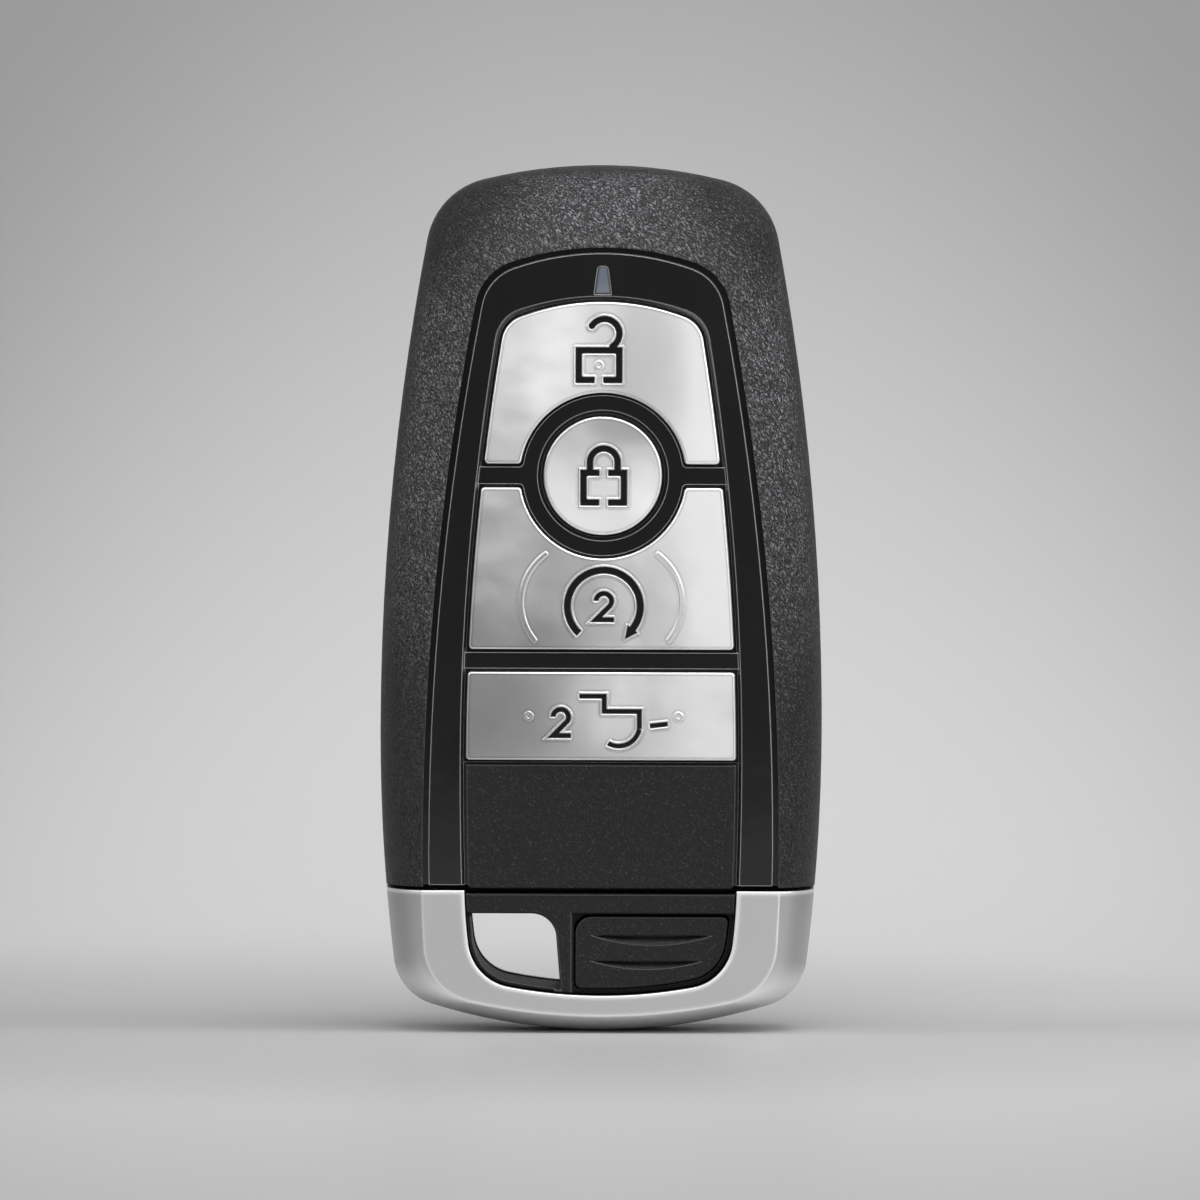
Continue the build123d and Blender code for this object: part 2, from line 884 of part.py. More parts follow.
def capacitors():
    """Two columns of small components."""
    pieces = []
    middle = (capacitors_in_column - 1) / 2
    for row in range(capacitors_in_column):
        z = chip_row_z + (row - middle) * capacitor_pitch
        for x in (capacitor_left_x, capacitor_right_x):
            pieces.append(flat_part(x, z, capacitor_width, capacitor_height, capacitor_depth))
    return Compound(pieces)


def antenna_core():
    """The ferrite bar."""
    half = core_height / 2
    return block(-core_half, core_half, core_front_y, core_back_y, antenna_z - half, antenna_z + half)


def antenna_winding():
    """The wire wound round the bar, as one sleeve."""
    half = core_height / 2 + winding_wall
    around = block(
        -winding_half, winding_half, board_back_y, core_back_y + winding_wall, antenna_z - half, antenna_z + half,
    )
    return around - block(
        -winding_half - cut_overrun, winding_half + cut_overrun, core_front_y, core_back_y,
        antenna_z - core_height / 2, antenna_z + core_height / 2,
    )


def cell_can():
    """The coin cell's steel can."""
    outer = slab(disc(cell_x, cell_z, cell_radius), can_rim_y, cell_back_y)
    room = disc(cell_x, cell_z, cell_radius - can_wall)
    return outer - slab(room, can_rim_y - cut_overrun, cell_back_y - can_wall)


def cell_cap():
    """The coin cell's inner cap, its negative pole."""
    return slab(disc(cell_x, cell_z, cap_radius), cell_front_y, cell_back_y - can_wall)


def cell_gasket():
    """The seal between the can and the cap."""
    ring = disc(cell_x, cell_z, cell_radius - can_wall) - disc(cell_x, cell_z, cap_radius)
    return slab(ring, gasket_front_y, cell_back_y - can_wall)


def negative_contact():
    """A sprung strip that arches from the board to the cell."""
    base = block(
        cell_x - contact_reach, cell_x + contact_reach, board_back_y, board_back_y + contact_thickness,
        cell_z - contact_half, cell_z + contact_half,
    )
    arch_top = cell_front_y - snug_gap
    section = make_face([
        ThreePointArc((-contact_arch_half, 0), (0, arch_top - board_back_y), (contact_arch_half, 0)),
        Line((contact_arch_half, 0), (contact_arch_half - contact_thickness, 0)),
        ThreePointArc(
            (contact_arch_half - contact_thickness, 0),
            (0, arch_top - board_back_y - contact_thickness),
            (-contact_arch_half + contact_thickness, 0),
        ),
        Line((-contact_arch_half + contact_thickness, 0), (-contact_arch_half, 0)),
    ])
    plan = Plane(origin=(cell_x, board_back_y, cell_z - contact_half), x_dir=(1, 0, 0), z_dir=(0, 0, 1))
    arch = extrude(plan * section, amount=2 * contact_half, dir=(0, 0, 1))
    return base + arch


def positive_contact():
    """A bent strip that stands beside the cell and touches its rim."""
    inner_z = cell_z + cell_radius + snug_gap
    arm = block(
        cell_x - strip_half, cell_x + strip_half, board_back_y, strip_back_y, inner_z, inner_z + strip_thickness,
    )
    foot = block(
        cell_x - strip_half, cell_x + strip_half, board_back_y, board_back_y + strip_thickness,
        inner_z, inner_z + strip_foot,
    )
    return arm + foot


def battery_door():
    """The round door over the cell, with a slot for a coin."""
    plate = disc(cell_x, cell_z, cell_radius) + door_tab(0)
    body = slab(plate, door_front_y, door_back_y)
    slot = Pos(cell_x, cell_z) * SlotOverall(coin_slot_length, coin_slot_width)
    return body - slab(slot, door_back_y - coin_slot_depth, door_back_y + cut_overrun)


def door_tab(gap):
    """The tab beside the key head where a coin lifts the door."""
    low = cell_z - cell_radius - door_tab_reach
    return rectangle(cell_x - door_tab_half - gap, cell_x + door_tab_half + gap, low - gap, cell_z - cell_radius / 2)


def key_blade():
    """The flat emergency blade, pointed, with a track along each face."""
    tip_x = (blade_x0 + blade_x1) / 2
    outline = Polyline(
        (blade_x0, blade_low_z), (blade_x1, blade_low_z), (blade_x1, blade_top_z - blade_tip),
        (tip_x, blade_top_z), (blade_x0, blade_top_z - blade_tip), close=True,
    )
    back_y = blade_front_y + blade_thickness
    body = slab(make_face(outline), blade_front_y, back_y)
    left_x = blade_x0 + groove_inset
    right_x = blade_x1 - groove_inset
    body -= slab(blade_track(left_x), blade_front_y - cut_overrun, blade_front_y + groove_depth)
    return body - slab(blade_track(right_x), back_y - groove_depth, back_y + cut_overrun)


def blade_track(x):
    """The outline of a track, which runs out at the tip."""
    return rectangle(x - groove_width / 2, x + groove_width / 2, groove_low_z, blade_top_z + cut_overrun)


def head_sketch(grow):
    """The head as seen in the band's window: it follows the window's lower edge."""
    inside = loop_window.inset(head_inset - grow).face()
    flat = inside & rectangle(head_x0 - grow, big, 0, head_high_z + grow)
    left = min(v.X for v in flat.vertices())
    top = max(v.Y for v in flat.vertices())
    for low, radius in ((False, head_corner), (True, head_small_round)):
        corners = [v for v in flat.vertices() if abs(v.X - left) < same_point and (v.Y < top / 2) == low]
        flat = fillet(corners, radius)
    right_top = max(flat.vertices(), key=lambda v: v.X + v.Y)
    return fillet([right_top], head_small_round)


def finger_groove(z, x1, rise):
    """A crescent that is deep along its straight upper edge and runs out at its lower edge."""
    middle = (finger_x0 + x1) / 2
    half = (x1 - finger_x0) / 2
    levels = ((key_face_y, 1, 1), (key_face_y + finger_depth, finger_floor_share, finger_floor_rise_share))
    sections = []
    for y, width_share, rise_share in levels:
        a = (middle - half * width_share, z)
        b = (middle + half * width_share, z)
        crescent = make_face([Line(b, a), ThreePointArc(a, (middle, z - rise * rise_share), b)])
        sections.append(front_plane(y) * crescent)
    return loft(sections, ruled=True)


def shank_sketch(grow):
    """The part of the head that grips the blade, beside and above the window."""
    return rectangle(blade_x0 - shank_lap - grow, blade_x1 + grow, shank_low_z, shank_high_z + grow)


def key_head():
    """The black plastic head that is pulled out, moulded round the blade."""
    body = slab(head_sketch(0), key_face_y, key_back_y)
    body = fillet(front_edges(body, key_face_y), head_edge)
    body += slab(shank_sketch(0), blade_front_y - blade_thickness / 2, key_back_y)
    body -= finger_groove(finger_high_z, finger_high_x1, finger_high_rise)
    body -= finger_groove(finger_low_z, finger_low_x1, finger_low_rise)
    slot = rectangle(blade_x0, blade_x1, blade_low_z, big)
    return body - slab(slot, blade_front_y, blade_front_y + blade_thickness)


def release_button(side):
    """A button in the side wall, with the hook that holds the cover."""
    outer = silhouette.face() & rectangle(0, big, release_low_z, release_high_z)
    body = slab(outer & rectangle(release_inner_x, big, 0, big), release_front_y, release_back_y)
    low = (release_low_z + release_high_z - hook_height) / 2
    body += block(release_inner_x, hook_x, release_back_y, hook_back_y, low, low + hook_height)
    return body if side > 0 else mirror(body, about=Plane.YZ)


def release_spring(side):
    """A bowed leaf between the release button and the chassis."""
    low = release_low_z + spring_thickness
    high = release_high_z - spring_thickness
    middle = (low + high) / 2
    start_x = release_wall_x + snug_gap
    crest_x = release_inner_x - snug_gap
    leaf = make_face([
        ThreePointArc((start_x, low), (crest_x, middle), (start_x, high)),
        Line((start_x, high), (start_x, high - spring_thickness)),
        ThreePointArc(
            (start_x, high - spring_thickness),
            (crest_x - spring_thickness, middle),
            (start_x, low + spring_thickness),
        ),
        Line((start_x, low + spring_thickness), (start_x, low)),
    ])
    body = slab(leaf, release_front_y + panel_gap, release_back_y - panel_gap)
    return body if side > 0 else mirror(body, about=Plane.YZ)


def loop_hole(inset):
    """The key-ring hole, bounded by the stem, the bar and the band's inner edge."""
    top = bar_under_z - inset
    beside_stem = make_face(Polyline(
        (-big, 0), (stem_foot_x0 - inset, 0), (stem_x0 - inset, bar_under_z), (-big, bar_under_z), close=True,
    ))
    flat = loop_window.inset(hole_wall + inset).face() & beside_stem & below(top)
    inner_corner = max(corners_at(flat, top), key=lambda v: v.X)
    flat = fillet([inner_corner], hole_round - inset)
    outer_corner = min(corners_at(flat, top), key=lambda v: v.X)
    return fillet([outer_corner], smallest_round)


def casing_room():
    """The room in the chassis for the coin cell, its door and the strip beside it."""
    back = cover_back_y
    room = slab(disc(cell_x, cell_z, cell_radius + cell_fit), cell_ledge_y, back)
    room += slab(disc(cell_x, cell_z, ledge_radius), chassis_front_y - cut_overrun, 0)
    room += slab(door_tab(panel_gap), door_front_y - snug_gap, back)
    strip_z = cell_z + cell_radius
    return room + block(
        cell_x - strip_half - panel_gap, cell_x + strip_half + panel_gap,
        chassis_front_y - cut_overrun, strip_back_y + panel_gap,
        strip_z - cut_overrun, strip_z + strip_foot + body_gap,
    )


def key_room():
    """The room in the chassis for the key's head, shank and blade."""
    room = slab(head_sketch(panel_gap), raised_y, cover_back_y)
    room += slab(shank_sketch(body_gap), blade_front_y - blade_thickness / 2 - body_gap, cover_back_y)
    blade = rectangle(blade_x0 - panel_gap, blade_x1 + panel_gap, head_high_z, blade_top_z + body_gap)
    return room + slab(blade, blade_front_y - body_gap, cover_back_y)


def release_room(side):
    """The notch in the chassis for one release button, its spring and its hook."""
    room = side_block(
        side, release_wall_x, big, chassis_front_y - cut_overrun, release_back_y + panel_gap,
        release_low_z - panel_gap, release_high_z + panel_gap,
    )
    low = (release_low_z + release_high_z - hook_height) / 2 - panel_gap
    return room + side_block(
        side, release_inner_x - release_travel - panel_gap, big, 0, hook_back_y + panel_gap,
        low, low + hook_height + 2 * panel_gap,
    )


def tab_room(side, z):
    """The notch in the chassis for one tab of the rear cover."""
    half = tab_height / 2 + body_gap
    return side_block(
        side, tab_inner_x(z) - body_gap, big,
        tab_reach_y - body_gap, chassis_back_y + cut_overrun, z - half, z + half,
    )


def loop_frame():
    """The raised bar and stem between the key-ring hole, the key head and the panel."""
    inside = loop_window.inset(loop_gap).face() & below(bar_over_z)
    bars = rectangle(-big, big, bar_under_z, bar_over_z) + rectangle(stem_x0, stem_x1, 0, bar_over_z)
    corner = rectangle(stem_x0 - hole_round, stem_x0, bar_under_z - hole_round, bar_under_z)
    frame = slab((inside & bars) + corner, loop_face_y, loop_side_face_y)
    return frame + slab(inside, loop_side_face_y, chassis_front_y)


def chassis():
    """The frame inside the casing that carries everything."""
    body = slab(silhouette.inset(chassis_inset).face(), chassis_front_y, chassis_back_y) + loop_frame()
    body -= slab(loop_hole(0), raised_y, cover_back_y)
    body -= key_room()
    body = chamfer(front_edges(body, loop_face_y), loop_edge)
    body -= casing_room()
    body -= block(
        -pocket_half, pocket_half, chassis_front_y - cut_overrun, pocket_back_y, pocket_low_z, pocket_high_z,
    )
    for side in (-1, 1):
        body -= side_block(side, rib_half, relief_half, relief_front_y, cover_back_y, relief_low_z, relief_high_z)
        body -= release_room(side)
        for z in (tab_low_z, tab_high_z):
            body -= tab_room(side, z)
    for x, z in pin_places():
        body += slab(disc(x, z, pin_radius), board_front_y - snug_gap, chassis_front_y + cut_overrun)
    return body


def half_width(z, inset):
    """Half the width of the casing at one height, less an inset."""
    cut = silhouette.inset(inset).face() & rectangle(0, big, z - same_point, z + same_point)
    return cut.bounding_box().max.X


def tab_inner_x(z):
    """The inner side of a tab, clear of the shell's wall over the tab's whole height."""
    return half_width(z + tab_height / 2, side_wall) - body_gap - tab_depth


def rear_cover():
    """The back half of the casing, rounded at its edge, with four tabs."""
    sections = []
    full_turn = cover_arc_share * math.pi / 2
    for step in range(cover_sections):
        angle = full_turn * step / (cover_sections - 1)
        y = cover_round_y + (cover_back_y - cover_round_y) * math.sin(angle) / math.sin(full_turn)
        sections.append(front_plane(y) * silhouette.inset(cover_round_inset * (1 - math.cos(angle))).face())
    body = slab(silhouette.face(), cover_front_y, cover_round_y) + loft(sections)
    body -= slab(silhouette.inset(cover_wall).face(), cover_front_y - cut_overrun, cover_inside_y)
    for side in (-1, 1):
        for z in (tab_low_z, tab_high_z):
            inner = tab_inner_x(z)
            half = tab_height / 2
            body += side_block(side, inner, inner + tab_depth, tab_reach_y, cover_inside_y, z - half, z + half)
    return body - slab(loop_hole(cover_hole_inset), 0, cover_back_y + cut_overrun)


def parts():
    """Every node of the fob by name."""
    made = {
        "front_shell": front_shell(),
        "end_band": end_band(),
        "gloss_bezel": gloss_bezel(),
        "blank_panel": blank_panel(),
        "indicator_lens": indicator_lens(),
        "chassis": chassis(),
        "rear_cover": rear_cover(),
        "battery_door": battery_door(),
        "cell_can": cell_can(),
        "cell_cap": cell_cap(),
        "cell_gasket": cell_gasket(),
        "circuit_board": circuit_board(),
        "switch_bodies": switch_bodies(),
        "controller_chip": flat_part(controller_x, chip_row_z, controller_size, controller_size, controller_depth),
        "radio_chip": flat_part(radio_x, radio_z, radio_size, radio_size, radio_depth),
        "crystal": flat_part(radio_x, crystal_z, crystal_width, crystal_height, crystal_depth),
        "capacitors": capacitors(),
        "indicator_led": indicator_led(),
        "antenna_core": antenna_core(),
        "antenna_winding": antenna_winding(),
        "negative_contact": negative_contact(),
        "positive_contact": positive_contact(),
        "keypad_mat": keypad_mat(),
        "key_head": key_head(),
        "key_blade": key_blade(),
        "release_button_left": release_button(-1),
        "release_button_right": release_button(1),
        "release_spring_left": release_spring(-1),
        "release_spring_right": release_spring(1),
    }
    buttons = {
        "unlock": (unlock_field(), unlock_symbol),
        "lock": (lock_field(), lock_symbol),
        "start": (start_field(), start_symbol),
        "tailgate": (tailgate_field(), tailgate_symbol),
    }
    for name, (field, symbol) in buttons.items():
        made[name + "_cap"], made[name + "_core"] = button(name, field, symbol)
    for name, x, z in switch_places():
        made[name + "_plunger"] = plunger(x, z)
    return made


os.makedirs("parts", exist_ok=True)
for name, shape in parts().items():
    export_step(shape, "parts/" + name + ".step")
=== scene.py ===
# %% [markdown]
# # A car key fob, dressed in Blender
# The engineering model of the fob comes in as a fixed frame of named nodes, in metres.
# This lesson gives each node its finish, puts copies in the place of the rubber keypad and the
# leaf springs, and sets up a small studio. The fob stands upright with its buttons towards -Y.
# Every finish is a small graph of nodes, so it holds up close and from all sides.

# %% Load the frame
import bmesh
import bpy
import math
from mathutils import Matrix, Vector


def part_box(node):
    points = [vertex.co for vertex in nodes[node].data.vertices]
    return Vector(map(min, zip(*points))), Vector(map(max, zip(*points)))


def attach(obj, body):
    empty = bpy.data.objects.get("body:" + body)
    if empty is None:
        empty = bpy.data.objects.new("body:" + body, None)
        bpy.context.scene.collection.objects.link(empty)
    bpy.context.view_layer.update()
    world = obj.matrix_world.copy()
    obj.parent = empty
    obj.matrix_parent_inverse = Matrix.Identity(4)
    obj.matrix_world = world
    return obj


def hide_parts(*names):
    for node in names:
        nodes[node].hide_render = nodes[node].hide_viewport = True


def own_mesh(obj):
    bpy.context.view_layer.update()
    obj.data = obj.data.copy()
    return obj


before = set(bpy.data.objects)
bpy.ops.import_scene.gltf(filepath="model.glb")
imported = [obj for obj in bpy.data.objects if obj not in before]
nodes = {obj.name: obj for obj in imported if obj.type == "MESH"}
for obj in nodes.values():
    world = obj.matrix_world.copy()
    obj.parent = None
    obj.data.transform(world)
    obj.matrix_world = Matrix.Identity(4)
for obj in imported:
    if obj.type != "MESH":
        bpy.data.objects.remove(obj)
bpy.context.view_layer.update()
mm = 0.001

# %% [markdown]
# ## The camera
# The photograph looks at the fob from straight ahead and a little above. A short lens close by
# would show the sides of the fob and swell its middle. The photograph shows neither, so this
# camera stands far off with a long lens. The small roll is the photograph's own.

# %% Camera
camera_distance = 2.4
camera_rise = math.radians(2.6)
camera_roll = math.radians(0.22)
look_at = Vector((-0.15 * mm, 0, 39.9 * mm))
frame_height = 111.5 * mm
sensor_width = 36.0

camera_data = bpy.data.cameras.new("studio_camera")
camera_data.sensor_width = sensor_width
camera_data.lens = sensor_width * camera_distance / frame_height
camera_data.clip_start = 0.01
camera = bpy.data.objects.new("studio_camera", camera_data)
bpy.context.scene.collection.objects.link(camera)
back = Vector((0, -math.cos(camera_rise), math.sin(camera_rise)))
camera.location = look_at + back * camera_distance
camera.rotation_euler = (-back).to_track_quat("-Z", "Y").to_euler()
camera.rotation_euler.rotate_axis("Z", camera_roll)
bpy.context.scene.camera = camera
print("lens:", round(camera_data.lens, 1), "mm")

# %% [markdown]
# ## Materials and groups
# A material is a graph that ends in one Principled shader. Values that are the same all over a
# piece sit on the shader's own sockets. An effect that several materials share is a node
# group, built once and placed with other values, so that a correction reaches them all.

# %% Material and group helpers
def new_material(name, colour, roughness, metallic=0.0, sockets=None):
    """A material with one Principled shader, its plain values set on the shader itself."""
    material = bpy.data.materials.new(name)
    material.use_nodes = True
    shader = material.node_tree.nodes["Principled BSDF"]
    shader.inputs["Base Color"].default_value = (*colour, 1)
    shader.inputs["Roughness"].default_value = roughness
    shader.inputs["Metallic"].default_value = metallic
    for socket, value in (sockets or {}).items():
        shader.inputs[socket].default_value = value
    return material, material.node_tree, shader


def new_group(name, inputs, outputs):
    """An empty node group with named value inputs and outputs."""
    group = bpy.data.node_groups.new(name, "ShaderNodeTree")
    for label, value in inputs.items():
        socket = group.interface.new_socket(
            label, in_out="INPUT", socket_type="NodeSocketFloat")
        socket.default_value = value
    for label in outputs:
        group.interface.new_socket(label, in_out="OUTPUT", socket_type="NodeSocketFloat")
    return group, group.nodes.new("NodeGroupInput"), group.nodes.new("NodeGroupOutput")


def use_group(tree, group, **values):
    """Places a node group in a material with its own values."""
    node = tree.nodes.new("ShaderNodeGroup")
    node.node_tree = group
    for name, value in values.items():
        node.inputs[name].default_value = value
    return node


print("material and group helpers ready")

# %% [markdown]
# ## Sums over the place
# Masks and patterns are sums over the place on the fob. Math nodes can be joined by hand, but a
# graph of thirty of them is hard to read. A helper that takes sockets or plain numbers keeps
# each sum on a line. Places are in the fob's own space, so a pattern moves with its piece.

# %% Sum helpers
def maths(tree, operation, a, b=None, clamp=False):
    """A Math node whose inputs are sockets or plain numbers."""
    node = tree.nodes.new("ShaderNodeMath")
    node.operation = operation
    node.use_clamp = clamp
    for index, value in enumerate((a, b)):
        if value is None:
            continue
        if isinstance(value, (int, float)):
            node.inputs[index].default_value = value
        else:
            tree.links.new(value, node.inputs[index])
    return node.outputs[0]


def smooth_range(tree, value, given, wanted):
    """Maps a range of values smoothly to another."""
    node = tree.nodes.new("ShaderNodeMapRange")
    node.interpolation_type = "SMOOTHSTEP"
    tree.links.new(value, node.inputs["Value"])
    for label, number in zip(("From Min", "From Max", "To Min", "To Max"), (*given, *wanted)):
        node.inputs[label].default_value = number
    return node.outputs["Result"]


def object_axes(tree):
    """The place on the fob as three separate sockets."""
    place = tree.nodes.new("ShaderNodeTexCoord")
    axes = tree.nodes.new("ShaderNodeSeparateXYZ")
    tree.links.new(place.outputs["Object"], axes.inputs[0])
    return axes.outputs["X"], axes.outputs["Y"], axes.outputs["Z"]


def oval(tree, place, middle, reach):
    """Zero in the middle of an oval and one on its rim: the square of the way to the rim."""
    squares = []
    for value, centre, size in zip(place, middle, reach):
        share = maths(tree, "DIVIDE", maths(tree, "SUBTRACT", value, centre), size)
        squares.append(maths(tree, "MULTIPLY", share, share))
    return maths(tree, "ADD", *squares)


print("sum helpers ready")

# %% [markdown]
# ## Rounded edges
# No moulded or pressed edge is quite sharp: its small radius catches the light. The radius
# could be modelled, but the nodes keep their meshes. The Bevel node rounds the shading alone,
# and how far it turns the normal tells where the edges are, so they can get a painted
# highlight or a painted dark line in their colour.

# %% Bump and edge helpers
towards_viewer = (0, -1, 0)
facing_down, facing_level = -0.22, -0.04


def bump(tree, shader, height, distance, normal=None):
    """Feeds a height into the shader's normal, and returns the result for another bump."""
    node = tree.nodes.new("ShaderNodeBump")
    node.inputs["Distance"].default_value = distance
    tree.links.new(height, node.inputs["Height"])
    if normal is not None:
        tree.links.new(normal, node.inputs["Normal"])
    tree.links.new(node.outputs[0], shader.inputs["Normal"])
    return node.outputs[0]


def round_edges(tree, radius, samples=6):
    """Rounds sharp edges in the shading."""
    node = tree.nodes.new("ShaderNodeBevel")
    node.samples = samples
    node.inputs["Radius"].default_value = radius
    return node.outputs["Normal"]


def turn_of(tree, rounded, facing=None):
    """How far a rounded normal turns from the surface's own, or from a fixed direction."""
    compare = tree.nodes.new("ShaderNodeVectorMath")
    compare.operation = "DOT_PRODUCT"
    tree.links.new(rounded, compare.inputs[0])
    if facing is None:
        surface = tree.nodes.new("ShaderNodeNewGeometry")
        tree.links.new(surface.outputs["Normal"], compare.inputs[1])
    else:
        compare.inputs[1].default_value = facing
    return maths(tree, "SUBTRACT", 1.0, compare.outputs["Value"])


def edge_mask(tree, rounded, gain, start=0.0):
    """One along the rounded edges and zero on the faces."""
    past = maths(tree, "SUBTRACT", turn_of(tree, rounded), start)
    return maths(tree, "MULTIPLY", past, gain, clamp=True)


def lit_from_above(tree, rounded):
    """One where the rounding faces up or aside, and zero where it faces down."""
    axes = tree.nodes.new("ShaderNodeSeparateXYZ")
    tree.links.new(rounded, axes.inputs[0])
    return smooth_range(tree, axes.outputs["Z"], (facing_down, facing_level), (0, 1))


print("bump and edge helpers ready")

# %% [markdown]
# ## Tones
# A mask or a sum turns into a colour in one of two ways. A mix goes between two colours, as
# where ridges stand out of dark plastic with a painted highlight. A ramp goes through a whole
# table of greys, as across a plated rim, where a painted highlight and a painted dark line lie
# side by side.

# %% Tone helpers
def mix_colours(tree, factor, first, second):
    """Mixes two colours, each a plain colour or a socket, by a factor socket."""
    node = tree.nodes.new("ShaderNodeMix")
    node.data_type = "RGBA"
    tree.links.new(factor, node.inputs["Factor"])
    colour_inputs = [socket for socket in node.inputs if socket.type == "RGBA"]
    for socket, colour in zip(colour_inputs, (first, second)):
        if isinstance(colour, tuple):
            socket.default_value = (*colour, 1)
        else:
            tree.links.new(colour, socket)
    return next(socket for socket in node.outputs if socket.type == "RGBA")


def tone_ramp(tree, factor, stops):
    """A grey ramp from a table of positions and levels."""
    ramp = tree.nodes.new("ShaderNodeValToRGB")
    tree.links.new(factor, ramp.inputs["Fac"])
    while len(ramp.color_ramp.elements) < len(stops):
        ramp.color_ramp.elements.new(0.5)
    for element, (position, level) in zip(ramp.color_ramp.elements, stops):
        element.position = position
        element.color = (level, level, level, 1)
    return ramp.outputs["Color"]


print("tone helpers ready")

# %% [markdown]
# ## Moulded grain
# Real fob shells copy a grain that is etched into the steel mould: short worm-like ridges on
# the outer shell and a fine sandy one on flat panels. A picture of such a grain would blur up
# close. A noise folded at its middle value gives the ridges at any size, and one group with a
# Scale input serves both, the silver finishes and the inner parts.

# %% Grain group
noise_middle = 0.5
ridge_top = 0.6


def make_grain():
    """Folded noise: a height for bumps and a mask of the ridges for tones."""
    group, given, out = new_group(
        "moulded_grain",
        {"Scale": 2400.0, "Wander": 1.2, "Sharpness": 3.0, "Stretch": 1.0,
         "Lean": math.radians(38)},
        ("Height", "Ridge"),
    )
    place = group.nodes.new("ShaderNodeTexCoord")
    turn = group.nodes.new("ShaderNodeVectorRotate")
    turn.rotation_type = "Y_AXIS"
    group.links.new(given.outputs["Lean"], turn.inputs["Angle"])
    group.links.new(place.outputs["Object"], turn.inputs["Vector"])
    axes = group.nodes.new("ShaderNodeSeparateXYZ")
    group.links.new(turn.outputs[0], axes.inputs[0])
    joined = group.nodes.new("ShaderNodeCombineXYZ")
    group.links.new(axes.outputs["X"], joined.inputs["X"])
    group.links.new(axes.outputs["Y"], joined.inputs["Y"])
    stretched = maths(group, "MULTIPLY", axes.outputs["Z"], given.outputs["Stretch"])
    group.links.new(stretched, joined.inputs["Z"])
    noise = group.nodes.new("ShaderNodeTexNoise")
    noise.inputs["Detail"].default_value = 1.0
    noise.inputs["Roughness"].default_value = 0.45
    group.links.new(joined.outputs[0], noise.inputs["Vector"])
    group.links.new(given.outputs["Scale"], noise.inputs["Scale"])
    group.links.new(given.outputs["Wander"], noise.inputs["Distortion"])
    fold = maths(group, "ABSOLUTE", maths(group, "SUBTRACT", noise.outputs["Fac"], noise_middle))
    ridge = maths(group, "MULTIPLY", fold, given.outputs["Sharpness"], clamp=True)
    group.links.new(maths(group, "SMOOTH_MIN", ridge, ridge_top), out.inputs["Height"])
    group.links.new(ridge, out.inputs["Ridge"])
    return group


moulded_grain = make_grain()
print("group:", moulded_grain.name, "with", len(moulded_grain.nodes), "nodes")

# %% [markdown]
# ## Handling marks
# Nothing that lives in a pocket is evenly clean: the gloss drifts a little from place to place.
# One roughness value would look like new plastic out of a computer. A slow cloudy noise moves
# the roughness about its base, and the same cloud serves as a height where a face is wavy.

# %% Handling group
def make_handling():
    """A slow cloud that moves the roughness about its base."""
    group, given, out = new_group(
        "handling_marks", {"Scale": 90.0, "Base": 0.4, "Amount": 0.08}, ("Roughness", "Cloud"),
    )
    place = group.nodes.new("ShaderNodeTexCoord")
    cloud = group.nodes.new("ShaderNodeTexNoise")
    cloud.inputs["Detail"].default_value = 3.0
    group.links.new(place.outputs["Object"], cloud.inputs["Vector"])
    group.links.new(given.outputs["Scale"], cloud.inputs["Scale"])
    half_swing = maths(group, "SUBTRACT", cloud.outputs["Fac"], noise_middle)
    swing = maths(group, "MULTIPLY", half_swing, 2.0)
    shift = maths(group, "MULTIPLY", swing, given.outputs["Amount"])
    roughness = maths(group, "ADD", shift, given.outputs["Base"], clamp=True)
    group.links.new(roughness, out.inputs["Roughness"])
    group.links.new(cloud.outputs["Fac"], out.inputs["Cloud"])
    return group


def add_handling(tree, shader, base, amount, scale=90.0):
    """Links the handling marks to a shader's roughness."""
    marks = use_group(tree, handling_marks, Scale=scale, Base=base, Amount=amount)
    tree.links.new(marks.outputs["Roughness"], shader.inputs["Roughness"])


handling_marks = make_handling()
print("group:", handling_marks.name, "with", len(handling_marks.nodes), "nodes")

# %% [markdown]
# ## Pillowed faces
# Moulded and plated faces are never quite flat: they swell a little towards the middle. The
# swell is too small to see on the outline, yet it decides which part of the studio a glossy
# face reflects. So it is a height for the shading and no change of the shape.

# %% Pillow group
def make_pillow():
    """A height that falls off sideways and up and down."""
    group, given, out = new_group(
        "pillow",
        {"Middle across": 0.0, "Half width": 0.0125, "Middle height": 0.045, "Half height": 0.035},
        ("Height",),
    )
    x, y, z = object_axes(group)
    fall = oval(
        group, (x, z),
        (given.outputs["Middle across"], given.outputs["Middle height"]),
        (given.outputs["Half width"], given.outputs["Half height"]),
    )
    group.links.new(maths(group, "SUBTRACT", 1.0, fall), out.inputs["Height"])
    return group


def add_pillow(tree, shader, swell, middle, reach, normal):
    """Swells a material's faces by a height, and returns the new normal."""
    group = use_group(tree, pillow, **{
        "Middle across": middle[0], "Half width": reach[0],
        "Middle height": middle[1], "Half height": reach[1],
    })
    return bump(tree, shader, group.outputs["Height"], swell, normal=normal)


pillow = make_pillow()
print("group:", pillow.name, "with", len(pillow.nodes), "nodes")
